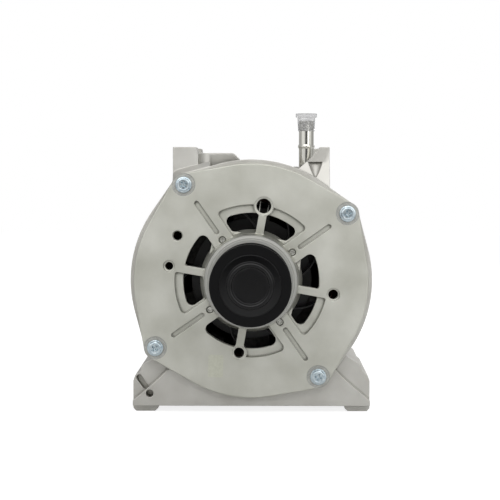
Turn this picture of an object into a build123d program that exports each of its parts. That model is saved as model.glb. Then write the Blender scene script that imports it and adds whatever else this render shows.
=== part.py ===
from build123d import *
from math import cos, radians, sin, sqrt
import os

# Alternator with a water-cooled housing and a die-cast front plate.
# Millimetres. +X is right seen from the pulley, +Y runs back along the shaft, +Z is up.
# The origin is the middle of the four foot bolts, on the plane that the feet stand on.

# Overall layout. The barrel sets the radii round it, and the feet stand a set way below it.
HOUSING_LENGTH = 100.0
BARREL_R = 80.5
BARREL_WALL = 6.5
FLANGE_LIP = 2.3
FLANGE_LENGTH = 8.0
FOOT_RISE = 10.5
EAR_RISE = 10.8
SHAFT_HEIGHT = BARREL_R + FOOT_RISE
FLANGE_R = BARREL_R + FLANGE_LIP
BORE_R = BARREL_R - BARREL_WALL
RUNNING_FIT = 0.05
SLIP_FIT = 0.1
AIR_GAP = 0.4

# Front plate
PLATE_STEP = 0.5
PLATE_R = BARREL_R - PLATE_STEP
PLATE_THICKNESS = 7.0
PLATE_EDGE_ROUND = 0.8
SCREW_CIRCLE_R = PLATE_R
FIRST_SCREW_ANGLE = 35.0
SCREW_COUNT = 4
LOBE_R = 7.7
SPOTFACE_R = LOBE_R + 0.1
SPOTFACE_DEPTH = 0.6
SPIGOT_DEPTH = 3.0
SPIGOT_WALL = 4.0

# Windows, spokes and grooves of the front plate
WINDOW_INNER_R = 32.6
WINDOW_OUTER_R = 46.4
LEDGE_R = 52.1
LEDGE_DEPTH = 3.2
LEDGE_CORNER_R = 2.8
WINDOW_CORNER_R = 1.4
WINDOW_WIDE_CORNER_R = 4.0
WIDE_SPOKE_WIDTH = 14.6
WIDE_SPOKE_ROOT = 1.4
NARROW_SPOKE_WIDTH = 5.4
GUSSET_R = 38.0
GUSSET_START = 9.0
GUSSET_END = 34.0
GROOVE_INNER_R = 39.1
GROOVE_OUTER_R = 66.2
GROOVE_WIDTH = 3.4
GROOVE_DEPTH = 2.0

# Front hub and its bearing, 17 x 47 x 14
HUB_BASE_R = 32.4
HUB_NOSE_R = 31.4
HUB_STEP_R = 29.0
HUB_REACH = 13.0
HUB_STEP = 2.6
HUB_BACK_R = 35.2
HUB_LIP = 3.0
HUB_LIP_R = 19.5
FRONT_BEARING_OUTER_R = 23.5
FRONT_BEARING_BORE_R = 8.5
FRONT_BEARING_WIDTH = 14.0
BEARING_RING_WALL = 3.6
RETAINER_THICKNESS = 2.5
RETAINER_R = 29.0
RETAINER_SCREW_CIRCLE_R = 34.2
RETAINER_SCREW_R = 2.4
RETAINER_LOBE_R = 4.6

# Screws with a flanged hexagon head
HEX_ACROSS_FLATS = 8.0
HEX_HEIGHT = 3.4
SCREW_FLANGE_R = 5.6
SCREW_FLANGE_THICKNESS = 1.4
SCREW_SHANK_R = 2.5
SCREW_GRIP = 14.0
CROSS_WIDTH = 1.1
CROSS_SPAN = 5.0
CROSS_DEPTH = 1.8

# Feet and ears of the housing
FOOT_SPREAD = 1.2
FOOT_OUTER_X = BARREL_R + FOOT_SPREAD
FOOT_WIDTH = 17.2
FOOT_INNER_X = FOOT_OUTER_X - FOOT_WIDTH
PAD_CHAMFER = 2.0
FOOT_BOLT_SPACING_Y = 70.0
FOOT_BOLT_R = 3.4
FOOT_BOLT_DEPTH = 18.0
PAD_LENGTH = 28.0
PAD_RELIEF = 2.2
WEB_THICKNESS = 6.0
WEB_RISE = 4.3
WEB_HOLE_R = 2.6
WEB_HOLE_DEPTH = 10.0
FOOT_POCKET_DEPTH = 6.0
RIB_X = 28.0
RIB_THICKNESS = 4.0
EAR_TOP = BARREL_R + EAR_RISE
EAR_OUTER_X = 53.8
LEFT_EAR_WIDTH = 16.0
RIGHT_EAR_TOP_WIDTH = 6.6
EAR_LENGTH = 26.0
RIGHT_EAR_LENGTH = 14.0
EAR_BOLT_R = 3.4
EAR_BOLT_DEPTH = 14.0
EAR_SETBACK = 4.0
SHOULDER_RISE = 3.5
RIGHT_EAR_SETBACK = 8.0
RAMP_DROP = 10.2
SCOOP_X = 44.0
SCOOP_R = 6.0
SCOOP_HEIGHT = 12.0
TOP_PAD_RISE = 6.8
TOP_PAD_RIGHT_X = -12.7
TOP_PAD_SLOPE = 3.7
TOP_PAD_SETBACK = 8.0
TOP_PAD_UNDERCUT = 5.0

# Water jacket
JACKET_DEPTH = 3.2
SLEEVE_FRONT_GAP = 10.0
SLEEVE_BACK_GAP = 14.0
SLEEVE_WALL = 4.5
INLET_R = 7.0
INLET_Y = 5.0
SEAL_SECTION = 2.4
SEAL_MARGIN = 5.0

# Stator, 36 slots
STATOR_WALL = 17.5
STATOR_R = BORE_R - SLEEVE_WALL
STATOR_BORE_R = STATOR_R - STATOR_WALL
STATOR_LENGTH = 40.0
STATOR_CENTRE_Y = -2.0
SLOT_COUNT = 36
SLOT_DEPTH = 11.0
SLOT_WIDTH = 4.2
WINDING_OVERHANG = 19.0
WINDING_INNER_R = STATOR_BORE_R + 2.5

# Rotor with claw poles, 6 fingers on each half
FINGERS = 6
CLAW_DISC = 13.0
CLAW_LENGTH = 52.0
FINGER_ROOT_WIDTH = 26.0
FINGER_TIP_WIDTH = 11.0
FINGER_TIP_WALL = 4.5
FINGER_ROOT_WALL = 12.0
CORE_R = 22.0
COIL_GAP = 2.1
ROTOR_R = STATOR_BORE_R - AIR_GAP
COIL_R = ROTOR_R - FINGER_ROOT_WALL - COIL_GAP
BOBBIN_WALL = 1.2
FAN_STEP = 1.6
FAN_R = ROTOR_R - FAN_STEP
FAN_HUB_R = 16.0
FAN_SHEET = 1.4
FAN_DEPTH = 11.0
FAN_BLADES = 9
FAN_BLADE_ROOT_R = 28.0
FAN_BLADE_SWEEP = 24.0

# Pulley for a ribbed belt of six ribs, on a one-way clutch
PULLEY_R = 27.0
PULLEY_WIDTH = 27.0
PULLEY_REACH = 44.5
PULLEY_BORE_R = 17.5
RIB_COUNT = 6
RIB_PITCH = 3.56
RIB_DEPTH = 2.6
CLUTCH_HUB_R = 12.0
ROLLER_COUNT = 10
PULLEY_MOUTH = 3.0
CAP_R = 20.5
CAP_RING_R = 13.8
CAP_RING_WIDTH = 3.6
CAP_RING_RISE = 1.6
COLLAR_R = 13.0

# Rear bracket and its bearing, 15 x 35 x 11
REAR_BRACKET_THICKNESS = 8.0
REAR_BEARING_OUTER_R = 17.5
REAR_BEARING_BORE_R = 7.5
REAR_BEARING_WIDTH = 11.0
REAR_HUB_WALL = 5.0
REAR_SLEEVE_WALL = 1.2

# Slip rings and brushes
SLIP_RING_R = 10.0
SLIP_RING_WIDTH = 6.5
SLIP_RING_GAP = 3.0
TAIL_R = 6.0
BRUSH_WIDTH = 6.0
BRUSH_THICKNESS = 5.0
BRUSH_LENGTH = 17.0
BRUSH_TRAVEL = 5.0
BRUSH_HOLDER_WALL = 2.0
SPRING_R = 2.0
SPRING_WIRE = 0.6

# Rear electrics and cover
COVER_STEP = 6.5
COVER_R = BARREL_R - COVER_STEP
COVER_DEPTH = 38.0
COVER_WALL = 2.2
HEAT_SINK_THICKNESS = 4.0
HEAT_SINK_OUTER_R = COVER_R - 8.0
HEAT_SINK_MIDDLE_R = HEAT_SINK_OUTER_R - 16.0
HEAT_SINK_INNER_R = 24.0
BOARD_THICKNESS = 3.0
DIODE_R = 6.2
DIODE_HEIGHT = 7.0
STUD_R = 4.0
STUD_ANGLE = -23.5
STUD_REACH = 17.0

# Water pipe and its plastic cap
PIPE_X = 38.3
PIPE_GAP = 8.0
PIPE_R = 5.2
PIPE_BORE_R = 3.9
PIPE_LENGTH = 42.0
PIPE_SEAT_DEPTH = 2.8
PIPE_BEAD_R = 5.8
PIPE_BOSS_R = 9.0
PIPE_BOSS_ROOT_R = 13.0
CAP_BODY_R = 6.3
CAP_FLANGE_R = 7.4
CAP_FLANGE_THICKNESS = 2.6

# Places that follow from the sizes above
HOUSING_FRONT = -HOUSING_LENGTH / 2
HOUSING_BACK = HOUSING_LENGTH / 2
PLATE_FACE = HOUSING_FRONT - PLATE_THICKNESS
HUB_FRONT = PLATE_FACE - HUB_REACH
FRONT_BEARING_FRONT = HUB_FRONT + HUB_LIP
FRONT_BEARING_BACK = FRONT_BEARING_FRONT + FRONT_BEARING_WIDTH
PULLEY_FRONT = PLATE_FACE - PULLEY_REACH
PULLEY_BACK = PULLEY_FRONT + PULLEY_WIDTH
STATOR_FRONT = STATOR_CENTRE_Y - STATOR_LENGTH / 2
STATOR_BACK = STATOR_CENTRE_Y + STATOR_LENGTH / 2
CLAW_FRONT = STATOR_CENTRE_Y - CLAW_LENGTH / 2
CLAW_BACK = STATOR_CENTRE_Y + CLAW_LENGTH / 2
BRACKET_BACK = HOUSING_BACK + REAR_BRACKET_THICKNESS
REAR_BEARING_BACK = HOUSING_BACK + 5.0
REAR_BEARING_FRONT = REAR_BEARING_BACK - REAR_BEARING_WIDTH
SLIP_RING_FRONT = BRACKET_BACK + 3.0
COVER_BACK = BRACKET_BACK + COVER_DEPTH
SCREW_ANGLES = [FIRST_SCREW_ANGLE + 360 / SCREW_COUNT * k for k in range(SCREW_COUNT)]

SHAFT = Axis((0, 0, SHAFT_HEIGHT), (0, 1, 0))
SPIN = Axis((0, 0, SHAFT_HEIGHT), (0, -1, 0))
SIDE = Plane(origin=(0, 0, SHAFT_HEIGHT))


def facing(y):
    """Plane across the shaft at y, seen from the pulley: local x right, local y up."""
    return Plane(origin=(0, y, SHAFT_HEIGHT), x_dir=(1, 0, 0), z_dir=(0, -1, 0))


def slab(outline, y_front, y_back):
    return extrude(facing(y_back) * outline, y_back - y_front)


def turned(*points):
    """Solid of revolution about the shaft from (radius, y) points."""
    return revolve(SIDE * make_face(Polyline(*points, close=True)), SHAFT)


def ring(inner_r, outer_r, y_front, y_back):
    return turned((inner_r, y_front), (outer_r, y_front), (outer_r, y_back), (inner_r, y_back))


def polar(radius, angle):
    return (radius * cos(radians(angle)), radius * sin(radians(angle)))


def disc(radius, angle, disc_r):
    return Pos(*polar(radius, angle)) * Circle(disc_r)


def strip(inner_r, outer_r, width, angle):
    middle = (inner_r + outer_r) / 2
    return Rot(0, 0, angle) * (Pos(middle, 0) * Rectangle(outer_r - inner_r, width))


def spun(shape, angles):
    return [shape.rotate(SPIN, angle) for angle in angles]


def group(shapes):
    return Compound([solid for shape in shapes for solid in shape.solids()])


def upright(x, y, *points):
    """Solid of revolution about a vertical line from (radius, height above shaft) points."""
    plane = Plane(origin=(x, y, SHAFT_HEIGHT), x_dir=(1, 0, 0), z_dir=(0, -1, 0))
    line = Axis((x, y, SHAFT_HEIGHT), (0, 0, 1))
    return revolve(plane * make_face(Polyline(*points, close=True)), line)


# Outline shared by the plate, the housing ends and the rear bracket
def lobed(radius, lobe_r):
    circles = [Circle(radius)] + [disc(SCREW_CIRCLE_R, a, lobe_r) for a in SCREW_ANGLES]
    return make_hull([edge for circle in circles for edge in circle.edges()])


# Front plate
def window(side, inner_r, outer_r, half_spoke, wide_corner_r, gusset):
    """Window between the wide spoke on local x and the narrow spoke on one side of it."""
    half_turn = side * 180 / SCREW_COUNT
    wedge = make_face(Polyline((0, 0), (2 * outer_r, 0), polar(2 * outer_r, half_turn), close=True))
    shape = (Circle(outer_r) - Circle(inner_r)) & wedge
    shape -= strip(0, 2 * outer_r, 2 * half_spoke, 0)
    shape -= strip(0, 2 * outer_r, NARROW_SPOKE_WIDTH, half_turn)
    if gusset:
        start = polar(GUSSET_R, side * GUSSET_START)
        end = polar(HUB_BASE_R, side * GUSSET_END)
        shape -= make_face(Polyline((0, 0), start, end, close=True))
    corners = shape.vertices().sort_by(Axis.X)
    shape = fillet(corners[-1], wide_corner_r)
    sharp = [v for v in shape.vertices() if v.X < corners[-1].X - 2 * wide_corner_r]
    if gusset:
        sharp = sorted(sharp, key=lambda v: (v.center() - Vector(*end)).length)[1:]
    return fillet(sharp, WINDOW_CORNER_R)


# Windows: angle of the wide spoke, side of it, whether a ledge surrounds it, whether it has a gusset
WINDOWS = [
    (125, -1, True, True),
    (35, 1, True, True),
    (35, -1, False, True),
    (305, 1, True, True),
    (305, -1, True, False),
    (215, 1, False, False),
    (215, -1, True, False),
    (125, 1, False, True),
]

# Holes through the plate: distance from the shaft, angle, radius, recess radius, recess depth
PLATE_HOLES = [
    (51.8, 80.4, 5.0, 6.3, 0.6),
    (49.8, 260.4, 3.5, 4.6, 0.6),
    (58.8, 148.3, 3.05, 3.6, 0.5),
    (56.8, 169.7, 2.7, 4.0, 1.2),
    (56.7, 350.7, 3.3, 4.5, 1.2),
]
HOLE_BOSS_WALL = 1.9


def hub_profile():
    nose = HUB_FRONT + HUB_STEP
    plate_back = HOUSING_FRONT
    back_r = FRONT_BEARING_OUTER_R
    return turned(
        (HUB_LIP_R, HUB_FRONT),
        (HUB_STEP_R, HUB_FRONT),
        (HUB_STEP_R + HUB_STEP / 4, nose - HUB_STEP / 4),
        (HUB_NOSE_R, nose),
        (HUB_BASE_R, PLATE_FACE),
        (HUB_BACK_R, plate_back),
        (back_r + HUB_LIP, plate_back),
        (back_r, FRONT_BEARING_BACK),
        (back_r, FRONT_BEARING_FRONT),
        (HUB_LIP_R, FRONT_BEARING_FRONT),
    )


def front_plate():
    plate = slab(lobed(PLATE_R, LOBE_R), PLATE_FACE, HOUSING_FRONT)
    front_edge = plate.faces().sort_by(Axis.Y)[0].outer_wire().edges()
    plate = fillet(front_edge, PLATE_EDGE_ROUND)
    for angle, side, has_ledge, has_gusset in WINDOWS:
        half_spoke = WIDE_SPOKE_WIDTH / 2
        recess_r, recess_corner_r = WINDOW_OUTER_R, WINDOW_WIDE_CORNER_R
        if has_ledge:
            recess_r, recess_corner_r = LEDGE_R, LEDGE_CORNER_R
        recess = window(side, WINDOW_INNER_R, recess_r, half_spoke, recess_corner_r, False)
        plate -= slab(Rot(0, 0, angle) * recess, PLATE_FACE, PLATE_FACE + LEDGE_DEPTH)
        if has_ledge:
            half_spoke += WIDE_SPOKE_ROOT
        opening = window(side, WINDOW_INNER_R, WINDOW_OUTER_R, half_spoke, WINDOW_WIDE_CORNER_R, has_gusset)
        plate -= slab(Rot(0, 0, angle) * opening, PLATE_FACE, HOUSING_FRONT)
    for distance, angle, hole_r, recess_r, recess in PLATE_HOLES:
        plate += slab(disc(distance, angle, hole_r + HOLE_BOSS_WALL), PLATE_FACE, HOUSING_FRONT)
    plate -= slab(Circle(HUB_LIP_R), PLATE_FACE, HOUSING_FRONT)
    plate -= ring(0, FRONT_BEARING_OUTER_R, PLATE_FACE - 1, HOUSING_FRONT)
    plate += hub_profile()
    for distance, angle, hole_r, recess_r, recess in PLATE_HOLES:
        plate -= slab(disc(distance, angle, hole_r), PLATE_FACE, HOUSING_FRONT)
        plate -= slab(disc(distance, angle, recess_r), PLATE_FACE, PLATE_FACE + recess)
    for angle in SCREW_ANGLES:
        groove = SlotCenterToCenter(GROOVE_OUTER_R - GROOVE_INNER_R - GROOVE_WIDTH, GROOVE_WIDTH)
        middle = polar((GROOVE_INNER_R + GROOVE_OUTER_R) / 2, angle)
        plate -= slab(Pos(*middle) * Rot(0, 0, angle) * groove, PLATE_FACE, PLATE_FACE + GROOVE_DEPTH)
        plate -= slab(disc(SCREW_CIRCLE_R, angle, SPOTFACE_R), PLATE_FACE, PLATE_FACE + SPOTFACE_DEPTH)
        plate -= slab(disc(SCREW_CIRCLE_R, angle, SCREW_SHANK_R + SLIP_FIT), PLATE_FACE, HOUSING_FRONT)
        screw_hole = disc(RETAINER_SCREW_CIRCLE_R, angle, RETAINER_SCREW_R + SLIP_FIT)
        plate -= slab(screw_hole, PLATE_FACE, HOUSING_FRONT)
    spigot_r = BORE_R - SLIP_FIT
    plate += ring(spigot_r - SPIGOT_WALL, spigot_r, HOUSING_FRONT, HOUSING_FRONT + SPIGOT_DEPTH)
    retainer_seat = retainer_outline(SLIP_FIT)
    return plate - slab(retainer_seat, RETAINER_FRONT, HOUSING_FRONT)


# Bearing retainer, a pressed plate behind the hub with four lobes for its screws
RETAINER_FRONT = FRONT_BEARING_BACK


def retainer_outline(clearance):
    lobes = [disc(RETAINER_SCREW_CIRCLE_R, a, RETAINER_LOBE_R + clearance) for a in SCREW_ANGLES]
    edges = [edge for lobe in lobes for edge in lobe.edges()]
    return make_hull(edges + list(Circle(RETAINER_R + clearance).edges()))


def bearing_retainer():
    plate = slab(retainer_outline(0), RETAINER_FRONT, RETAINER_FRONT + RETAINER_THICKNESS)
    opening_r = FRONT_BEARING_OUTER_R - BEARING_RING_WALL
    plate -= slab(Circle(opening_r), RETAINER_FRONT, RETAINER_FRONT + RETAINER_THICKNESS)
    for angle in SCREW_ANGLES:
        hole = disc(RETAINER_SCREW_CIRCLE_R, angle, RETAINER_SCREW_R + SLIP_FIT)
        plate -= slab(hole, RETAINER_FRONT, RETAINER_FRONT + RETAINER_THICKNESS)
    return plate


def retainer_screws():
    back = RETAINER_FRONT + RETAINER_THICKNESS
    tip = PLATE_FACE + 1.2
    head_r = 1.8 * RETAINER_SCREW_R
    screws = []
    for angle in SCREW_ANGLES:
        shank = slab(disc(RETAINER_SCREW_CIRCLE_R, angle, RETAINER_SCREW_R), tip, back)
        head = slab(disc(RETAINER_SCREW_CIRCLE_R, angle, head_r), back, back + RETAINER_SCREW_R)
        screws.append(shank + head)
    return group(screws)


# Flanged hexagon screws with a cross recess
def hex_screw(place, seat_y, grip, toward):
    """Screw whose head seats at seat_y and whose shank runs the other way from toward."""
    plane = Plane(origin=(place[0], seat_y, SHAFT_HEIGHT + place[1]), x_dir=(1, 0, 0), z_dir=(0, toward, 0))
    head = extrude(plane * Circle(SCREW_FLANGE_R), SCREW_FLANGE_THICKNESS)
    head += extrude(plane * RegularPolygon(HEX_ACROSS_FLATS / 2, 6, major_radius=False), HEX_HEIGHT)
    cross = Rectangle(CROSS_SPAN, CROSS_WIDTH) + Rectangle(CROSS_WIDTH, CROSS_SPAN)
    head -= extrude(plane.offset(HEX_HEIGHT) * cross, -CROSS_DEPTH)
    return head + extrude(plane * Circle(SCREW_SHANK_R), -grip)


def front_plate_screws():
    seat = PLATE_FACE + SPOTFACE_DEPTH
    return group([hex_screw(polar(SCREW_CIRCLE_R, a), seat, SCREW_GRIP, -1) for a in SCREW_ANGLES])


# Housing
def foot_profile(side):
    """Cross-section of one foot rail, from the barrel down to its pad."""
    corner_z = -BARREL_R
    points = [
        polar(BARREL_R - 3, -50),
        polar(BARREL_R - 3, -37),
        (FOOT_OUTER_X - 15.7, corner_z + 27.5),
        (FOOT_OUTER_X - 6, corner_z + 21.5),
        (FOOT_OUTER_X - 5, corner_z + 17),
        (FOOT_OUTER_X - 1.4, corner_z + 14.5),
        (FOOT_OUTER_X, corner_z + 10.5),
        (FOOT_OUTER_X, PAD_CHAMFER - SHAFT_HEIGHT),
        (FOOT_OUTER_X - PAD_CHAMFER, -SHAFT_HEIGHT),
        (FOOT_INNER_X + PAD_CHAMFER, -SHAFT_HEIGHT),
        (FOOT_INNER_X, PAD_CHAMFER - SHAFT_HEIGHT),
        (FOOT_INNER_X, WEB_RISE - SHAFT_HEIGHT),
        (FOOT_INNER_X - 3, corner_z + 10.5),
    ]
    return make_face(Polyline(*[(side * x, z) for x, z in points], close=True))


def web_profile():
    low = WEB_RISE - SHAFT_HEIGHT
    corner = (FOOT_OUTER_X, -BARREL_R - 2.6)
    bend = (FOOT_OUTER_X - 15.3, 10.3 - BARREL_R)
    top = (FOOT_OUTER_X - 24.2, 18.9 - BARREL_R)
    half = [(FOOT_OUTER_X, low), corner, bend, top]
    mirrored = [(-x, z) for x, z in reversed(half)]
    return make_face(Polyline(*half, *mirrored, close=True))


def left_ear_profile():
    left = -EAR_OUTER_X
    right = TOP_PAD_LEFT_X
    top = [(left, EAR_TOP), (left + LEFT_EAR_WIDTH, EAR_TOP), (right, EAR_TOP - 4.8)]
    return make_face(Polyline((left, EAR_ROOT_Z), *top, (right, EAR_ROOT_Z + 5), close=True))


def right_ear_profile():
    inner = EAR_OUTER_X - RIGHT_EAR_TOP_WIDTH
    points = [(EAR_OUTER_X, EAR_ROOT_Z), (EAR_OUTER_X, EAR_TOP), (inner, EAR_TOP)]
    points += [(inner - 4.8, EAR_TOP - 6), (inner - 14.8, EAR_TOP - 14.8), (inner - 14.8, EAR_ROOT_Z + 10)]
    return make_face(Polyline(*points, close=True))


def rear_ear_profile(side):
    outer = side * EAR_OUTER_X
    inner = side * (EAR_OUTER_X - LEFT_EAR_WIDTH)
    low_inner = (inner - side * 4, EAR_ROOT_Z + 10)
    return make_face(Polyline((outer, EAR_ROOT_Z), (outer, EAR_TOP), (inner, EAR_TOP), low_inner, close=True))


def vertical_hole(x, y, radius, z_from, z_to):
    low = SHAFT_HEIGHT + min(z_from, z_to)
    return Pos(x, y, low) * Cylinder(radius, abs(z_to - z_from), align=(Align.CENTER, Align.CENTER, Align.MIN))


def side_cut(x_from, x_to, *points):
    """Prism along x with a cross-section of (y, height above shaft) points."""
    plane = Plane(origin=(x_from, 0, SHAFT_HEIGHT), x_dir=(0, 1, 0), z_dir=(1, 0, 0))
    return extrude(plane * make_face(Polyline(*points, close=True)), x_to - x_from)


def barrel_height(x):
    return sqrt(BARREL_R ** 2 - x ** 2)


EAR_ROOT_Z = barrel_height(EAR_OUTER_X) - 5
EAR_FRONT = HOUSING_FRONT + EAR_SETBACK
RIGHT_EAR_FRONT = HOUSING_FRONT + RIGHT_EAR_SETBACK
RIGHT_EAR_BACK = RIGHT_EAR_FRONT + RIGHT_EAR_LENGTH
RAIL_FRONT = HOUSING_FRONT + WEB_THICKNESS - 1
EAR_HOLE_X = EAR_OUTER_X - LEFT_EAR_WIDTH / 2
EAR_HOLE_Y = HOUSING_BACK - EAR_LENGTH / 2
TOP_PAD_LEFT_X = 1.4 - EAR_OUTER_X + LEFT_EAR_WIDTH
TOP_PAD_Z = BARREL_R + TOP_PAD_RISE
TOP_PAD_FRONT = EAR_FRONT + TOP_PAD_SETBACK
SLEEVE_FRONT = HOUSING_FRONT + SLEEVE_FRONT_GAP
SLEEVE_BACK = HOUSING_BACK - SLEEVE_BACK_GAP
JACKET_FRONT = SLEEVE_FRONT + 2 * SEAL_MARGIN
JACKET_BACK = SLEEVE_BACK - 2 * SEAL_MARGIN
COLUMN_LENGTH = 20.0
PIPE_Y = RIGHT_EAR_BACK + PIPE_GAP
PIPE_SEAT_Z = barrel_height(PIPE_X) - PIPE_SEAT_DEPTH
PIPE_TOP = PIPE_SEAT_Z + PIPE_LENGTH
PIPE_BEAD_Z = PIPE_TOP - 18
CAP_SKIRT_Z = PIPE_TOP - 7.3
CAP_TOP_Z = PIPE_TOP + 5


def left_shoulder():
    """Ramp from the flange up to the front of the left ear."""
    front = facing(HOUSING_FRONT) * lobed(FLANGE_R, LOBE_R)
    back = facing(EAR_FRONT) * lobed(FLANGE_R + SHOULDER_RISE, LOBE_R + SHOULDER_RISE)
    right = TOP_PAD_LEFT_X + TOP_PAD_SETBACK
    middle = (right - EAR_OUTER_X) / 2
    part = Pos(middle, BARREL_R) * Rectangle(right + EAR_OUTER_X, 2 * (BARREL_R - EAR_ROOT_Z))
    return loft([front.face(), back.face()], ruled=True) & slab(part, HOUSING_FRONT, EAR_FRONT)


def right_ear():
    """Ear with a ramp up from the flange and a conical scoop that clears the hose."""
    ear = slab(right_ear_profile(), HOUSING_FRONT, RIGHT_EAR_BACK)
    ramp_top = EAR_TOP - RAMP_DROP
    above = EAR_TOP + 1
    ramp = [(HOUSING_FRONT, EAR_ROOT_Z + 5), (RIGHT_EAR_FRONT, ramp_top)]
    ramp += [(RIGHT_EAR_FRONT, above), (HOUSING_FRONT, above)]
    ear -= side_cut(0, EAR_OUTER_X, *ramp)
    scoop_y = RIGHT_EAR_FRONT - SCOOP_R / 2
    return ear - upright(SCOOP_X, scoop_y, (0, ramp_top - SCOOP_HEIGHT), (SCOOP_R, ramp_top), (0, ramp_top))


def top_pad():
    """Pad beside the left ear, with a hollow corner to it and an undercut front."""
    right = TOP_PAD_RIGHT_X
    end = right + TOP_PAD_SLOPE
    root = BARREL_R - 15
    outline = [(TOP_PAD_LEFT_X, root), (TOP_PAD_LEFT_X, TOP_PAD_Z), (right, TOP_PAD_Z)]
    outline += [(end, TOP_PAD_Z - TOP_PAD_SLOPE), (end, root)]
    pad = slab(make_face(Polyline(*outline, close=True)), EAR_FRONT, HOUSING_BACK - EAR_LENGTH - 12)
    hollow_x = TOP_PAD_LEFT_X + TOP_PAD_SETBACK
    top = TOP_PAD_Z + 1
    pad -= vertical_hole(hollow_x, EAR_FRONT, TOP_PAD_SETBACK, root, top)
    front = [(EAR_FRONT, root), (TOP_PAD_FRONT, root), (TOP_PAD_FRONT, top), (EAR_FRONT, top)]
    pad -= side_cut(hollow_x, 0, *front)
    undercut = [(TOP_PAD_FRONT, TOP_PAD_Z - 1.7), (TOP_PAD_FRONT, root)]
    undercut.append((TOP_PAD_FRONT + TOP_PAD_UNDERCUT, root))
    return pad - side_cut(hollow_x, 0, *undercut)


def housing():
    body = slab(Circle(BARREL_R), HOUSING_FRONT, HOUSING_BACK)
    body += slab(lobed(FLANGE_R, LOBE_R), HOUSING_FRONT, HOUSING_FRONT + FLANGE_LENGTH)
    body += slab(lobed(FLANGE_R, LOBE_R), HOUSING_BACK - FLANGE_LENGTH, HOUSING_BACK)
    for angle in SCREW_ANGLES:
        column = disc(SCREW_CIRCLE_R, angle, LOBE_R)
        body += slab(column, HOUSING_FRONT, HOUSING_FRONT + COLUMN_LENGTH)
        body += slab(column, HOUSING_BACK - COLUMN_LENGTH, HOUSING_BACK)
    for side in (-1, 1):
        body += slab(foot_profile(side), RAIL_FRONT, HOUSING_BACK)
        body += slab(rear_ear_profile(side), HOUSING_BACK - EAR_LENGTH, HOUSING_BACK)
    body += slab(left_ear_profile(), EAR_FRONT, EAR_FRONT + EAR_LENGTH)
    body += left_shoulder()
    body += right_ear()
    body += top_pad()
    body += slab(web_profile(), HOUSING_FRONT, HOUSING_FRONT + WEB_THICKNESS)
    body += slab(web_profile(), HOUSING_BACK - WEB_THICKNESS, HOUSING_BACK)
    port_face = WEB_RISE - SHAFT_HEIGHT
    for rib_x in (-RIB_X, RIB_X):
        rib_top = 2 - BARREL_R
        rib = Pos(rib_x, (port_face + rib_top) / 2) * Rectangle(RIB_THICKNESS, rib_top - port_face)
        body += slab(rib, HOUSING_FRONT, HOUSING_BACK)
    boss_root = PIPE_SEAT_Z - 8
    boss_top = PIPE_SEAT_Z + 10
    boss = [(0, boss_root), (PIPE_BOSS_ROOT_R, boss_root), (PIPE_BOSS_R, boss_top), (0, boss_top)]
    body += upright(PIPE_X, PIPE_Y, *boss)
    body += vertical_hole(0, INLET_Y, INLET_R + 5, port_face, -BORE_R)
    body -= slab(Circle(BORE_R), HOUSING_FRONT, HOUSING_BACK)
    body -= ring(BORE_R - 1, BORE_R + JACKET_DEPTH, JACKET_FRONT, JACKET_BACK)
    for angle in SCREW_ANGLES:
        hole = disc(SCREW_CIRCLE_R, angle, SCREW_SHANK_R + SLIP_FIT)
        body -= slab(hole, HOUSING_FRONT, HOUSING_FRONT + SCREW_GRIP - PLATE_THICKNESS + 2)
        body -= slab(hole, HOUSING_BACK - SCREW_GRIP + REAR_BRACKET_THICKNESS - 2, HOUSING_BACK)
    for y in (-FOOT_BOLT_SPACING_Y / 2, FOOT_BOLT_SPACING_Y / 2):
        for side in (-1, 1):
            bolt_x = side * FOOT_BOLT_X
            body -= vertical_hole(bolt_x, y, FOOT_BOLT_R, -SHAFT_HEIGHT, FOOT_BOLT_DEPTH - SHAFT_HEIGHT)
    relief = Pos(0, PAD_RELIEF / 2 - SHAFT_HEIGHT) * Rectangle(2 * FOOT_OUTER_X + 2, PAD_RELIEF)
    body -= slab(relief, RAIL_FRONT + PAD_LENGTH, HOUSING_BACK - PAD_LENGTH)
    for side in (-1, 1):
        ear_x = side * EAR_HOLE_X
        body -= vertical_hole(ear_x, EAR_HOLE_Y, EAR_BOLT_R, EAR_TOP - EAR_BOLT_DEPTH, EAR_TOP)
    body -= vertical_hole(0, INLET_Y, INLET_R, port_face, -BORE_R - 1)
    body -= vertical_hole(PIPE_X, PIPE_Y, PIPE_R + SLIP_FIT, PIPE_SEAT_Z, PIPE_TOP)
    body -= vertical_hole(PIPE_X, PIPE_Y, PIPE_BORE_R, PIPE_SEAT_Z - 12, PIPE_SEAT_Z)
    pocket = Pos(6.3 - FOOT_OUTER_X, 9.7 - BARREL_R) * Rot(0, 0, -55) * SlotCenterToCenter(7.6, 4)
    body -= slab(pocket, RAIL_FRONT, RAIL_FRONT + FOOT_POCKET_DEPTH)
    web_hole = Pos(11.7 - FOOT_OUTER_X, 2.4 - BARREL_R) * Circle(WEB_HOLE_R)
    return body - slab(web_hole, HOUSING_FRONT, HOUSING_FRONT + WEB_HOLE_DEPTH)


FOOT_BOLT_X = (FOOT_INNER_X + FOOT_OUTER_X) / 2


# Sleeve that closes the water jacket, with its two round seals
def jacket_sleeve():
    return ring(BORE_R - SLEEVE_WALL, BORE_R, SLEEVE_FRONT, SLEEVE_BACK) - jacket_seals()


def jacket_seals():
    fronts = (SLEEVE_FRONT + SEAL_MARGIN - SEAL_SECTION, SLEEVE_BACK - SEAL_MARGIN)
    return group([ring(BORE_R - SEAL_SECTION, BORE_R, y, y + SEAL_SECTION) for y in fronts])


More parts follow.
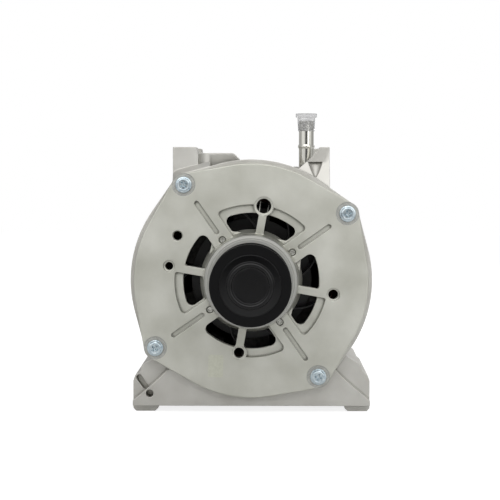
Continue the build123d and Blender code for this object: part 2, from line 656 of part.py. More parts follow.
# Stator
def stator_core():
    core = slab(Circle(STATOR_R) - Circle(STATOR_BORE_R), STATOR_FRONT, STATOR_BACK)
    slot = strip(STATOR_BORE_R - 1, STATOR_BORE_R + SLOT_DEPTH, SLOT_WIDTH, 0)
    slots = [Rot(0, 0, 360 / SLOT_COUNT * k) * slot for k in range(SLOT_COUNT)]
    return core - slab(Sketch() + slots, STATOR_FRONT, STATOR_BACK)


def winding_head(y_core, direction):
    reach = direction * WINDING_OVERHANG
    outer_r = STATOR_R - 2.5
    return turned(
        (WINDING_INNER_R, y_core),
        (WINDING_INNER_R, y_core + 0.8 * reach),
        (WINDING_INNER_R + 3, y_core + reach),
        (outer_r - 3, y_core + reach),
        (outer_r, y_core + 0.8 * reach),
        (outer_r, y_core),
    )


# Leads from the three phases, through the rear bracket to the terminal board
LEAD_R = 1.2
LEAD_CIRCLE_R = WINDING_INNER_R + 5
LEAD_ANGLES = (124, 130, 136)
POSITIVE_FRONT = BRACKET_BACK + 12.0
BOARD_FRONT = POSITIVE_FRONT + HEAT_SINK_THICKNESS


def phase_leads():
    leads = []
    for angle in LEAD_ANGLES:
        leads.append(slab(disc(LEAD_CIRCLE_R, angle, LEAD_R), STATOR_BACK + WINDING_OVERHANG, BOARD_FRONT))
    return group(leads)


# Rotor
def claw_pole(y_disc, direction, first_angle):
    """One pole half: a thick disc with fingers that lie over the field coil."""
    tip = y_disc + direction * (CLAW_LENGTH - 3)
    inside = y_disc + direction * CLAW_DISC
    half_root = FINGER_ROOT_WIDTH / 2
    half_tip = FINGER_TIP_WIDTH / 2
    outline = [(-half_root, y_disc), (half_root, y_disc), (half_root, inside)]
    outline += [(half_tip, tip), (-half_tip, tip), (-half_root, inside)]
    finger = extrude(SIDE * make_face(Polyline(*outline, close=True)), ROTOR_R + 5)
    fingers = Part() + spun(finger, [first_angle + 360 / FINGERS * k for k in range(FINGERS)])
    shell = turned(
        (CORE_R, y_disc),
        (ROTOR_R - 2, y_disc),
        (ROTOR_R, y_disc + direction * 2),
        (ROTOR_R, tip),
        (ROTOR_R - FINGER_TIP_WALL, tip),
        (ROTOR_R - FINGER_ROOT_WALL, inside),
        (CORE_R, inside),
    )
    pole = fingers & shell
    middle_y = (y_disc + direction * CLAW_LENGTH / 2)
    pole += ring(FRONT_BEARING_BORE_R + 1, CORE_R + 12, min(y_disc, inside), max(y_disc, inside))
    pole += ring(FRONT_BEARING_BORE_R + 1, CORE_R, min(y_disc, middle_y), max(y_disc, middle_y))
    return pole


def coil_bobbin():
    front = CLAW_FRONT + CLAW_DISC
    back = CLAW_BACK - CLAW_DISC
    return turned(
        (CORE_R, front),
        (COIL_R, front),
        (COIL_R, front + BOBBIN_WALL),
        (CORE_R + BOBBIN_WALL, front + BOBBIN_WALL),
        (CORE_R + BOBBIN_WALL, back - BOBBIN_WALL),
        (COIL_R, back - BOBBIN_WALL),
        (COIL_R, back),
        (CORE_R, back),
    )


def field_coil():
    front = CLAW_FRONT + CLAW_DISC + BOBBIN_WALL
    back = CLAW_BACK - CLAW_DISC - BOBBIN_WALL
    return ring(CORE_R + BOBBIN_WALL, COIL_R - 1, front, back)


def fan(y_sheet, direction):
    """Pressed fan: a sheet disc on the pole face with curved blades bent up from it."""
    sheet_end = y_sheet + direction * FAN_SHEET
    sheet = ring(FAN_HUB_R, FAN_R - 8, min(y_sheet, sheet_end), max(y_sheet, sheet_end))
    root = Vector(*polar(FAN_BLADE_ROOT_R, 0))
    end = Vector(*polar(FAN_R, FAN_BLADE_SWEEP))
    bow = (root + end) / 2 + Vector(2.5, -2.5)
    sheet_step = Vector(*polar(FAN_SHEET, -20))
    inner_side = ThreePointArc(root, bow, end)
    outer_side = ThreePointArc(end + sheet_step / 2, bow + sheet_step, root + sheet_step / 2)
    tip_edge = Line(end, end + sheet_step / 2)
    root_edge = Line(root + sheet_step / 2, root)
    blade_face = make_face([inner_side, tip_edge, outer_side, root_edge])
    tip = y_sheet + direction * FAN_DEPTH
    blade = slab(blade_face, min(y_sheet, tip), max(y_sheet, tip))
    return sheet + spun(blade, [360 / FAN_BLADES * k for k in range(FAN_BLADES)])


SHAFT_TAIL_END = SLIP_RING_FRONT + 2 * SLIP_RING_WIDTH + SLIP_RING_GAP + 2
COLLAR_FRONT = PULLEY_BACK + 1.0
HUB_BACK = COLLAR_FRONT
SHAFT_NOSE = PULLEY_FRONT + 9.0


def rotor_shaft():
    bearing_r = FRONT_BEARING_BORE_R
    core_r = bearing_r + 1
    return turned(
        (0, SHAFT_NOSE),
        (bearing_r - 1, SHAFT_NOSE),
        (bearing_r - 1, HUB_BACK),
        (bearing_r, HUB_BACK),
        (bearing_r, FRONT_BEARING_BACK),
        (core_r, FRONT_BEARING_BACK),
        (core_r, REAR_BEARING_FRONT),
        (REAR_BEARING_BORE_R, REAR_BEARING_FRONT),
        (REAR_BEARING_BORE_R, REAR_BEARING_BACK + 0.5),
        (TAIL_R, REAR_BEARING_BACK + 0.5),
        (TAIL_R, SHAFT_TAIL_END),
        (0, SHAFT_TAIL_END),
    )


def slip_ring_fronts():
    return (SLIP_RING_FRONT, SLIP_RING_FRONT + SLIP_RING_WIDTH + SLIP_RING_GAP)


def slip_rings():
    return group([ring(SLIP_RING_R - 1.5, SLIP_RING_R, y, y + SLIP_RING_WIDTH) for y in slip_ring_fronts()])


def slip_ring_body():
    body = ring(TAIL_R, SLIP_RING_R - 0.5, SLIP_RING_FRONT - 2, SHAFT_TAIL_END)
    return body - slip_rings()


def spacer_collar():
    return ring(FRONT_BEARING_BORE_R, COLLAR_R, COLLAR_FRONT, FRONT_BEARING_FRONT)


# Bearings: outer ring, inner ring, and the sealed ball row between them
def bearing_outer(outer_r, front, back):
    return ring(outer_r - BEARING_RING_WALL, outer_r, front, back)


def bearing_inner(bore_r, front, back):
    return ring(bore_r, bore_r + BEARING_RING_WALL, front, back)


def ball_row(bore_r, outer_r, front, back):
    inner_r = bore_r + BEARING_RING_WALL + RUNNING_FIT
    return ring(inner_r, outer_r - BEARING_RING_WALL - RUNNING_FIT, front + 1, back - 1)


# Pulley
RIB_BAND_FRONT = PULLEY_FRONT + (PULLEY_WIDTH - RIB_COUNT * RIB_PITCH) / 2


def pulley_rim():
    mouth = PULLEY_FRONT + PULLEY_MOUTH
    points = [(PULLEY_BORE_R, mouth), (CAP_R, mouth), (CAP_R, PULLEY_FRONT)]
    points += [(PULLEY_R, PULLEY_FRONT), (PULLEY_R, RIB_BAND_FRONT)]
    for rib in range(RIB_COUNT):
        valley = RIB_BAND_FRONT + (rib + 0.5) * RIB_PITCH
        points += [(PULLEY_R - RIB_DEPTH, valley), (PULLEY_R, valley + RIB_PITCH / 2)]
    points += [(PULLEY_R, PULLEY_BACK), (PULLEY_BORE_R, PULLEY_BACK)]
    return turned(*points)


def pulley_cap():
    """Plastic dust cap in the mouth of the pulley, with a round raised ring."""
    ring_in = (CAP_RING_R - CAP_RING_WIDTH / 2, PULLEY_FRONT)
    ring_out = (CAP_RING_R + CAP_RING_WIDTH / 2, PULLEY_FRONT)
    crest = (CAP_RING_R, PULLEY_FRONT - CAP_RING_RISE)
    mouth = PULLEY_FRONT + PULLEY_MOUTH
    skirt_r = PULLEY_BORE_R - 2
    skirt_end = PULLEY_FRONT + 7
    back = [(CAP_R, PULLEY_FRONT), (CAP_R, mouth), (PULLEY_BORE_R, mouth), (PULLEY_BORE_R, skirt_end)]
    back += [(skirt_r, skirt_end), (skirt_r, PULLEY_FRONT + 4), (0, PULLEY_FRONT + 4), (0, PULLEY_FRONT)]
    outline = Polyline(ring_out, *back, ring_in) + ThreePointArc(ring_in, crest, ring_out)
    return revolve(SIDE * make_face(outline), SHAFT)


def clutch_hub():
    """Inner part of the one-way clutch, screwed onto the shaft nose against the collar."""
    return ring(FRONT_BEARING_BORE_R - 1, CLUTCH_HUB_R, SHAFT_NOSE - 1, HUB_BACK)


def clutch_rollers():
    roller_r = (PULLEY_BORE_R - CLUTCH_HUB_R) / 2 - RUNNING_FIT
    circle_r = (PULLEY_BORE_R + CLUTCH_HUB_R) / 2
    angles = [360 / ROLLER_COUNT * k for k in range(ROLLER_COUNT)]
    front = PULLEY_FRONT + 9
    return group([slab(disc(circle_r, a, roller_r), front, PULLEY_BACK - 4) for a in angles])


# Rear bracket
def rear_bracket():
    plate = slab(lobed(FLANGE_R, LOBE_R), HOUSING_BACK, BRACKET_BACK)
    hub_r = REAR_BEARING_OUTER_R + REAR_SLEEVE_WALL + REAR_HUB_WALL
    plate += ring(0, hub_r, REAR_BEARING_FRONT - 2, BRACKET_BACK + 1)
    spigot_r = BORE_R - SLIP_FIT
    plate += ring(spigot_r - SPIGOT_WALL, spigot_r, HOUSING_BACK - SPIGOT_DEPTH, HOUSING_BACK)
    pocket_r = REAR_BEARING_OUTER_R + REAR_SLEEVE_WALL
    plate -= ring(0, pocket_r, REAR_BEARING_FRONT - 2, REAR_BEARING_BACK)
    plate -= ring(0, SLIP_RING_R + 2, REAR_BEARING_BACK, BRACKET_BACK + 1)
    opening = Circle(HEAT_SINK_MIDDLE_R) - Circle(hub_r + 3)
    spokes = [strip(0, PLATE_R, 9, a) for a in (30, 90, 150, 210, 270, 330)]
    plate -= slab(fillet((opening - spokes).vertices(), 2), HOUSING_BACK, BRACKET_BACK)
    for angle in SCREW_ANGLES:
        plate -= slab(disc(SCREW_CIRCLE_R, angle, SCREW_SHANK_R + SLIP_FIT), HOUSING_BACK, BRACKET_BACK)
    for angle in LEAD_ANGLES:
        plate -= slab(disc(LEAD_CIRCLE_R, angle, LEAD_R + 1), HOUSING_BACK, BRACKET_BACK)
    for angle in COVER_SCREW_ANGLES:
        plate -= slab(disc(COVER_SCREW_CIRCLE_R, angle, SCREW_SHANK_R), HOUSING_BACK + 2, BRACKET_BACK)
    return plate


def rear_bracket_screws():
    return group([hex_screw(polar(SCREW_CIRCLE_R, a), BRACKET_BACK, SCREW_GRIP, 1) for a in SCREW_ANGLES])


def rear_bearing_sleeve():
    outer_r = REAR_BEARING_OUTER_R + REAR_SLEEVE_WALL
    return ring(REAR_BEARING_OUTER_R, outer_r, REAR_BEARING_FRONT, REAR_BEARING_BACK)


# Rectifier: two horseshoe heat sinks with pressed diodes, joined by a moulded terminal board
STUD_PLACE = polar(HEAT_SINK_MIDDLE_R, STUD_ANGLE)
HEAT_SINK_GAP = 100.0
BOARD_GAP = 64.0
COVER_SCREW_CIRCLE_R = COVER_R - 5
COVER_SCREW_ANGLES = (60, 180, 300)
COVER_POST_R = 5.0


def horseshoe(inner_r, outer_r, gap_angle):
    """Ring with a gap at the top, where the regulator and the brushes sit."""
    right = polar(2 * outer_r, 90 - gap_angle / 2)
    left = polar(2 * outer_r, 90 + gap_angle / 2)
    gap = make_face(Polyline((0, 0), right, left, close=True))
    return (Circle(outer_r) - Circle(inner_r)) - gap


def diode_angles():
    return (185, 225, 315, 355)


def negative_heat_sink():
    back = BRACKET_BACK + HEAT_SINK_THICKNESS
    sink = slab(horseshoe(HEAT_SINK_MIDDLE_R, HEAT_SINK_OUTER_R, HEAT_SINK_GAP), BRACKET_BACK, back)
    for angle in COVER_SCREW_ANGLES:
        sink -= slab(disc(COVER_SCREW_CIRCLE_R, angle, COVER_POST_R + 0.5), BRACKET_BACK, back)
    return sink


def positive_heat_sink():
    front = POSITIVE_FRONT
    sink = slab(horseshoe(HEAT_SINK_INNER_R, HEAT_SINK_MIDDLE_R, HEAT_SINK_GAP), front, BOARD_FRONT)
    stud_pad = Pos(*STUD_PLACE) * Circle(STUD_R + 5)
    return sink + slab(stud_pad, front, BOARD_FRONT)


def negative_diodes():
    front = BRACKET_BACK + HEAT_SINK_THICKNESS
    middle_r = (HEAT_SINK_MIDDLE_R + HEAT_SINK_OUTER_R) / 2
    return group([slab(disc(middle_r, a, DIODE_R), front, front + DIODE_HEIGHT) for a in diode_angles()])


def positive_diodes():
    back = POSITIVE_FRONT
    middle_r = (HEAT_SINK_INNER_R + HEAT_SINK_MIDDLE_R) / 2
    return group([slab(disc(middle_r, a, DIODE_R), back - DIODE_HEIGHT, back) for a in diode_angles()])


def terminal_board():
    back = BOARD_FRONT + BOARD_THICKNESS
    board = slab(horseshoe(HEAT_SINK_INNER_R + 2, HEAT_SINK_OUTER_R - 4, BOARD_GAP), BOARD_FRONT, back)
    stud_hole = Pos(*STUD_PLACE) * Circle(STUD_R + 5.5)
    return board - slab(stud_hole, BOARD_FRONT, back)


# Output stud with its nut and insulator
def output_stud():
    place = Pos(*STUD_PLACE)
    stud = slab(place * Circle(STUD_R), BOARD_FRONT, COVER_BACK + STUD_REACH)
    return stud + slab(place * RegularPolygon(7, 6), BOARD_FRONT, BOARD_FRONT + 4)


def stud_insulator():
    place = Pos(*STUD_PLACE)
    outer = slab(place * Circle(STUD_R + 4.5), COVER_BACK - COVER_WALL, COVER_BACK + 2)
    outer += slab(place * Circle(STUD_R + 7), COVER_BACK, COVER_BACK + 2)
    return outer - slab(place * Circle(STUD_R + SLIP_FIT), COVER_BACK - COVER_WALL, COVER_BACK + 2)


def output_nut():
    place = Pos(*STUD_PLACE)
    front = COVER_BACK + 2
    nut = slab(place * RegularPolygon(6.5, 6, major_radius=False), front, front + 6.5)
    return nut - slab(place * Circle(STUD_R + RUNNING_FIT), front, front + 6.5)


# Brush holder with two carbon brushes pressed down on the slip rings
def brush_base():
    return SLIP_RING_R + SLIP_FIT


def brush(y_front):
    middle_y = y_front + SLIP_RING_WIDTH / 2
    low = SHAFT_HEIGHT + brush_base()
    upward = (Align.CENTER, Align.CENTER, Align.MIN)
    return Pos(0, middle_y, low) * Box(BRUSH_WIDTH, BRUSH_THICKNESS, BRUSH_LENGTH, align=upward)


def holder_top():
    return brush_base() + BRUSH_LENGTH + BRUSH_TRAVEL + 5


def brush_spring(y_front):
    low = brush_base() + BRUSH_LENGTH
    middle_y = y_front + SLIP_RING_WIDTH / 2
    wire = vertical_hole(0, middle_y, SPRING_R, low, holder_top())
    return wire - vertical_hole(0, middle_y, SPRING_R - SPRING_WIRE, low, holder_top())


def brush_holder():
    front, last = slip_ring_fronts()
    low = SHAFT_HEIGHT + SLIP_RING_R + 2.5
    y_front = front - BRUSH_HOLDER_WALL
    length = last + SLIP_RING_WIDTH + BRUSH_HOLDER_WALL - y_front
    height = SHAFT_HEIGHT + holder_top() + BRUSH_HOLDER_WALL - low
    width = BRUSH_WIDTH + 2 * BRUSH_HOLDER_WALL
    align = (Align.CENTER, Align.MIN, Align.MIN)
    holder = Pos(0, y_front, low) * Box(width, length, height, align=align)
    slot_width = BRUSH_WIDTH + 2 * SLIP_FIT
    slot_length = BRUSH_THICKNESS + 2 * SLIP_FIT
    for y in (front, last):
        y_slot = y + (SLIP_RING_WIDTH - slot_length) / 2
        slot = Box(slot_width, slot_length, height - BRUSH_HOLDER_WALL, align=align)
        holder -= Pos(0, y_slot, low) * slot
    return holder


# Regulator on top of the brush holder, with cooling fins and the plug socket
REGULATOR_WIDTH = 44.0
REGULATOR_LENGTH = 26.0
REGULATOR_TOP_GAP = 3.2
FIN_PITCH = 6.0
FIN_SLOT_WIDTH = 3.0
FIN_DEPTH = 5.0
SOCKET_PLACE = (0.0, 46.0)
SOCKET_WIDTH = 26.0
SOCKET_HEIGHT = 14.0
SOCKET_WALL = 1.8
SOCKET_REACH = 8.0


def regulator():
    low = holder_top() + BRUSH_HOLDER_WALL
    half = REGULATOR_WIDTH / 2
    high = sqrt((COVER_R - COVER_WALL) ** 2 - half ** 2) - REGULATOR_TOP_GAP
    outline = Pos(0, (low + high) / 2) * Rectangle(REGULATOR_WIDTH, high - low)
    body = slab(fillet(outline.vertices(), 2), BRACKET_BACK, BRACKET_BACK + REGULATOR_LENGTH)
    slot_count = int(REGULATOR_WIDTH / FIN_PITCH) - 1
    for k in range(slot_count):
        slot = Pos((k - (slot_count - 1) / 2) * FIN_PITCH, high) * Rectangle(FIN_SLOT_WIDTH, 2 * FIN_DEPTH)
        body -= slab(slot, BRACKET_BACK, BRACKET_BACK + REGULATOR_LENGTH)
    return body


def socket_outline(grow):
    width = SOCKET_WIDTH + 2 * grow
    height = SOCKET_HEIGHT + 2 * grow
    return Pos(*SOCKET_PLACE) * RectangleRounded(width, height, 3 + grow)


def connector_socket():
    floor = COVER_BACK - 12
    shell = slab(socket_outline(0), floor, COVER_BACK + SOCKET_REACH)
    return shell - slab(socket_outline(-SOCKET_WALL), floor + 2, COVER_BACK + SOCKET_REACH)


def connector_pins():
    floor = COVER_BACK - 10
    pins = []
    for x in (-7.5, -2.5, 2.5, 7.5):
        pin = Pos(SOCKET_PLACE[0] + x, SOCKET_PLACE[1]) * Rectangle(0.8, 2.4)
        pins.append(slab(pin, floor, COVER_BACK - 2))
    return group(pins)


# Rear cover, a thin moulded shell with vents
def rear_cover():
    front = BRACKET_BACK
    shell = slab(Circle(COVER_R), front, COVER_BACK)
    shell = chamfer(shell.faces().sort_by(Axis.Y)[-1].edges(), 4)
    shell -= slab(Circle(COVER_R - COVER_WALL), front, COVER_BACK - COVER_WALL - 2)
    shell -= slab(Circle(COVER_R - COVER_WALL - 4), front, COVER_BACK - COVER_WALL)
    shell -= slab(socket_outline(SLIP_FIT), COVER_BACK - COVER_WALL, COVER_BACK)
    shell -= slab(Pos(*STUD_PLACE) * Circle(STUD_R + 4.5 + SLIP_FIT), COVER_BACK - COVER_WALL, COVER_BACK)
    for angle in range(170, 371, 10):
        if abs(angle - 336.5) > 14:
            vent = Rot(0, 0, angle) * (Pos(43, 0) * SlotOverall(26, 3))
            shell -= slab(vent, COVER_BACK - COVER_WALL, COVER_BACK)
    for angle in COVER_SCREW_ANGLES:
        post = disc(COVER_SCREW_CIRCLE_R, angle, COVER_POST_R)
        shell += slab(post, front, COVER_BACK - 8)
        shell -= slab(disc(COVER_SCREW_CIRCLE_R, angle, SCREW_SHANK_R + SLIP_FIT), front, COVER_BACK)
        shell -= slab(disc(COVER_SCREW_CIRCLE_R, angle, SCREW_FLANGE_R + 0.6), COVER_BACK - 8, COVER_BACK)
    return shell


def rear_cover_screws():
    seat = COVER_BACK - 8
    grip = seat - HOUSING_BACK - 3
    return group([hex_screw(polar(COVER_SCREW_CIRCLE_R, a), seat, grip, 1) for a in COVER_SCREW_ANGLES])


# Water pipe pressed into its boss, with a bead for the hose, and the plastic transport cap
def coolant_pipe():
    return upright(
        PIPE_X,
        PIPE_Y,
        (PIPE_BORE_R, PIPE_SEAT_Z),
        (PIPE_R, PIPE_SEAT_Z),
        (PIPE_R, PIPE_BEAD_Z - 1.5),
        (PIPE_BEAD_R, PIPE_BEAD_Z - 0.6),
        (PIPE_BEAD_R, PIPE_BEAD_Z + 0.6),
        (PIPE_R, PIPE_BEAD_Z + 1.5),
        (PIPE_R, PIPE_TOP),
        (PIPE_BORE_R, PIPE_TOP),
    )


def pipe_cap():
    inner_r = PIPE_R + RUNNING_FIT
    return upright(
        PIPE_X,
        PIPE_Y,
        (inner_r, CAP_SKIRT_Z),
        (CAP_BODY_R - 0.6, CAP_SKIRT_Z),
        (CAP_BODY_R, CAP_TOP_Z - CAP_FLANGE_THICKNESS),
        (CAP_FLANGE_R, CAP_TOP_Z - CAP_FLANGE_THICKNESS),
        (CAP_FLANGE_R, CAP_TOP_Z),
        (0, CAP_TOP_Z),
        (0, PIPE_TOP),
        (inner_r, PIPE_TOP),
    )


def bearing_nodes(name, bore_r, outer_r, front, back):
    return {
        f"{name}_outer_ring": bearing_outer(outer_r, front, back),
        f"{name}_ball_row": ball_row(bore_r, outer_r, front, back),
        f"{name}_inner_ring": bearing_inner(bore_r, front, back),
    }


nodes = {
    "housing": housing(),
    "front_plate": front_plate(),
    "front_plate_screws": front_plate_screws(),
    "bearing_retainer": bearing_retainer(),
    "retainer_screws": retainer_screws(),
    "jacket_sleeve": jacket_sleeve(),
    "jacket_seals": jacket_seals(),
    "stator_core": stator_core(),
    "stator_winding_front": winding_head(STATOR_FRONT, -1),
    "stator_winding_rear": winding_head(STATOR_BACK, 1),
    "phase_leads": phase_leads(),
    "rotor_shaft": rotor_shaft(),
    "claw_pole_front": claw_pole(CLAW_FRONT, 1, 0),
    "claw_pole_rear": claw_pole(CLAW_BACK, -1, 180 / FINGERS),
    "coil_bobbin": coil_bobbin(),
    "field_coil": field_coil(),
    "front_fan": fan(CLAW_FRONT, -1),
    "rear_fan": fan(CLAW_BACK, 1),
    "spacer_collar": spacer_collar(),
    "slip_rings": slip_rings(),
    "slip_ring_body": slip_ring_body(),
    "clutch_hub": clutch_hub(),
    "clutch_rollers": clutch_rollers(),
    "pulley_rim": pulley_rim(),
    "pulley_cap": pulley_cap(),
    "rear_bracket": rear_bracket(),
    "rear_bracket_screws": rear_bracket_screws(),
    "rear_bearing_sleeve": rear_bearing_sleeve(),
    "negative_heat_sink": negative_heat_sink(),
    "positive_heat_sink": positive_heat_sink(),
    "negative_diodes": negative_diodes(),
    "positive_diodes": positive_diodes(),
    "terminal_board": terminal_board(),
    "output_stud": output_stud(),
    "stud_insulator": stud_insulator(),
    "output_nut": output_nut(),
    "brush_front": brush(slip_ring_fronts()[0]),
    "brush_rear": brush(slip_ring_fronts()[1]),
    "brush_spring_front": brush_spring(slip_ring_fronts()[0]),
    "brush_spring_rear": brush_spring(slip_ring_fronts()[1]),
    "brush_holder": brush_holder(),
    "regulator": regulator(),
    "connector_socket": connector_socket(),
    "connector_pins": connector_pins(),
    "rear_cover": rear_cover(),
    "rear_cover_screws": rear_cover_screws(),
    "coolant_pipe": coolant_pipe(),
    "pipe_cap": pipe_cap(),
}
nodes |= bearing_nodes(
    "front_bearing", FRONT_BEARING_BORE_R, FRONT_BEARING_OUTER_R, FRONT_BEARING_FRONT, FRONT_BEARING_BACK
)
nodes |= bearing_nodes(
    "rear_bearing", REAR_BEARING_BORE_R, REAR_BEARING_OUTER_R, REAR_BEARING_FRONT, REAR_BEARING_BACK
)

for name, shape in nodes.items():
    export_step(shape, f"parts/{name}.step")
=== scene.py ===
from math import atan2, cos, pi, radians, sin

import bpy
from mathutils import Matrix, Vector


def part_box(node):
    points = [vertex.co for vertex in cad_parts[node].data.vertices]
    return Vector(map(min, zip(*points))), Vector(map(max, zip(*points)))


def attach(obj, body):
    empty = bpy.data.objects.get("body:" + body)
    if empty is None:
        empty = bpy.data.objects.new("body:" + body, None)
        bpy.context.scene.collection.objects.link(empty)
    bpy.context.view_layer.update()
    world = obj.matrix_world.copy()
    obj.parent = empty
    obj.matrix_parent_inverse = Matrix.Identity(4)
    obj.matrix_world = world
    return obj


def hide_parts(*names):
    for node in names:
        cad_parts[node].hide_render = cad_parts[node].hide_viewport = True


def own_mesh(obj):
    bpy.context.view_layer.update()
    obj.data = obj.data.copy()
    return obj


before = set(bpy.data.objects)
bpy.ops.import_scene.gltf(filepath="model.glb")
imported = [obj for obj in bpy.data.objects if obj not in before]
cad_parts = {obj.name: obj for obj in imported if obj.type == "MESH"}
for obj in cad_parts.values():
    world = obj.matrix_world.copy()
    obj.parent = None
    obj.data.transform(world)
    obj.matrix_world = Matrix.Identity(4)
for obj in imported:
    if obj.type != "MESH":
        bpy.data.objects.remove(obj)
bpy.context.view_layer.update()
MM = 0.001

# Camera: stands a metre in front of the plate, a little above and to the right of it, with the
# long lens of a product photograph. The middle of the photograph falls above the shaft.
CAMERA_DISTANCE = 1.0
CAMERA_AZIMUTH = radians(0.75)
CAMERA_ELEVATION = radians(3.0)
SENSOR_WIDTH_MM = 36
PHOTO_WIDTH = 340 * MM
PHOTO_SHIFT = -0.75 * MM
PHOTO_RISE = 21.2 * MM
HUB_REACH = 13 * MM
shaft_low, shaft_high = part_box("rotor_shaft")
SHAFT_Z = (shaft_low.z + shaft_high.z) / 2
PLATE_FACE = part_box("front_plate")[0].y + HUB_REACH
photo_middle = Vector((PHOTO_SHIFT, PLATE_FACE, SHAFT_Z + PHOTO_RISE))
towards_camera = Vector((
    sin(CAMERA_AZIMUTH) * cos(CAMERA_ELEVATION),
    -cos(CAMERA_AZIMUTH) * cos(CAMERA_ELEVATION),
    sin(CAMERA_ELEVATION),
))
camera_data = bpy.data.cameras.new("photo_camera")
camera_data.sensor_width = SENSOR_WIDTH_MM
camera_data.lens = SENSOR_WIDTH_MM * CAMERA_DISTANCE / PHOTO_WIDTH
camera = bpy.data.objects.new("photo_camera", camera_data)
bpy.context.scene.collection.objects.link(camera)
camera.location = photo_middle + towards_camera * CAMERA_DISTANCE
camera.rotation_euler = towards_camera.to_track_quat("Z", "Y").to_euler()
bpy.context.scene.camera = camera

# Housing: aluminium shot into a steel die and left bare. Its skin is a dull grey with a fine
# grain and cloudy patches from the flow of the metal. Tumbling has rounded the edges, which are
# painted lighter, partly as worn metal and partly as a painted highlight. The corners are
# painted darker: painted shade, with a little grey release agent in them.
CLOUD_SIZE = 24 * MM
CAST_GRAIN = 0.7 * MM
GRAIN_DEPTH = 0.03 * MM
CORNER_SHADE_REACH = 2.2 * MM
EDGE_SHEEN_REACH = 0.7 * MM
WORN_AND_HIGHLIT_METAL = "DADAD4"
MERGE_DISTANCE = 0.001 * MM
SHARP_ANGLE = radians(35)
SHADED_ANGLE = radians(50)


def srgb(hex_code):
    """Linear colour with alpha from an sRGB hex code."""
    parts = [int(hex_code[i:i + 2], 16) / 255 for i in (0, 2, 4)]
    line = [c / 12.92 if c <= 0.04045 else ((c + 0.055) / 1.055) ** 2.4 for c in parts]
    return (*line, 1.0)


def connect(material, node, inputs):
    """Sets inputs, named or numbered as in _0, to values or to other nodes' outputs."""
    for name, value in inputs.items():
        socket = node.inputs[int(name[1:]) if name[1:].isdigit() else name.replace("_", " ")]
        if isinstance(value, bpy.types.NodeSocket):
            material.node_tree.links.new(value, socket)
        else:
            socket.default_value = value


def add_node(material, kind, output=0, settings=None, stops=(), **inputs):
    """Adds a node with its settings, colour stops and inputs, and returns one of its outputs."""
    node = material.node_tree.nodes.new(kind)
    for name, value in (settings or {}).items():
        setattr(node, name, value)
    for k, (position, colour) in enumerate(stops):
        elements = node.color_ramp.elements
        element = elements[k] if k < len(elements) else elements.new(position)
        element.position = position
        element.color = srgb(colour)
    connect(material, node, inputs)
    return node.outputs[output]


def coat(material, **values):
    """Sets values and links on a material's main shader."""
    connect(material, material.node_tree.nodes["Principled BSDF"], values)
    return material


def finish(name, **values):
    """New material with the given values on its main shader."""
    material = bpy.data.materials.new(name)
    material.use_nodes = True
    return coat(material, **values)


def die_cast(name, light, dark, shade_and_dirt):
    """Cast skin in two greys, painted shade and dirt in corners, painted highlight on worn edges."""
    skin = finish(name, Metallic=0.85)
    place = add_node(skin, "ShaderNodeTexCoord", "Object")
    clouds = add_node(skin, "ShaderNodeTexNoise", Vector=place, Scale=1 / CLOUD_SIZE, Detail=5.0)
    grain = add_node(skin, "ShaderNodeTexNoise", Vector=place, Scale=1 / CAST_GRAIN, Detail=3.0)
    metal = add_node(skin, "ShaderNodeValToRGB", stops=((0.3, dark), (0.7, light)), Fac=clouds)
    # Painted shade: each corner is darkened by its own occlusion, with a little release agent in it.
    corners = add_node(
        skin, "ShaderNodeAmbientOcclusion", "AO", {"samples": 6, "only_local": True},
        Distance=CORNER_SHADE_REACH,
    )
    shade_and_residue = add_node(
        skin, "ShaderNodeValToRGB", stops=((0.4, shade_and_dirt), (0.85, "FFFFFF")), Fac=corners,
    )
    shaded_and_dusty = add_node(
        skin, "ShaderNodeMixRGB", settings={"blend_type": "MULTIPLY"},
        Fac=1.0, Color1=metal, Color2=shade_and_residue,
    )
    # An edge is where the rounded normal turns away from the flat one.
    rounded = add_node(skin, "ShaderNodeBevel", settings={"samples": 4}, Radius=EDGE_SHEEN_REACH)
    normal = add_node(skin, "ShaderNodeNewGeometry", "Normal")
    likeness = add_node(
        skin, "ShaderNodeVectorMath", "Value", {"operation": "DOT_PRODUCT"},
        _0=rounded, _1=normal,
    )
    edges = add_node(
        skin, "ShaderNodeMapRange", Value=likeness, From_Min=0.995, From_Max=0.9, To_Max=0.4,
    )
    # Edges painted lighter: partly worn metal, partly a painted highlight.
    worn_and_highlit = add_node(
        skin, "ShaderNodeMixRGB", Fac=edges, Color1=shaded_and_dusty, Color2=srgb(WORN_AND_HIGHLIT_METAL),
    )
    rough = add_node(skin, "ShaderNodeMapRange", Value=clouds, To_Min=0.42, To_Max=0.58)
    bump = add_node(skin, "ShaderNodeBump", Height=grain, Distance=GRAIN_DEPTH)
    return coat(skin, Base_Color=worn_and_highlit, Roughness=rough, Normal=bump)


def pick(piece):
    """Selects one piece alone and makes it the active one."""
    bpy.ops.object.select_all(action="DESELECT")
    bpy.context.view_layer.objects.active = piece
    piece.select_set(True)


def edit(piece):
    """Opens one piece in edit mode with all of its mesh selected."""
    pick(piece)
    bpy.ops.object.mode_set(mode="EDIT")
    bpy.ops.mesh.select_all(action="SELECT")


def clean_copy(node, name):
    """A copy of a CAD node with its loose triangles merged."""
    piece = bpy.data.objects.new(name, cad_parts[node].data.copy())
    bpy.context.scene.collection.objects.link(piece)
    edit(piece)
    bpy.ops.mesh.remove_doubles(threshold=MERGE_DISTANCE)
    bpy.ops.object.mode_set(mode="OBJECT")
    return piece


def modify(piece, kind, **settings):
    """Adds a modifier with its settings and applies it."""
    modifier = piece.modifiers.new(kind.lower(), kind)
    for name, value in settings.items():
        setattr(modifier, name, value)
    pick(piece)
    bpy.ops.object.modifier_apply(modifier=modifier.name)


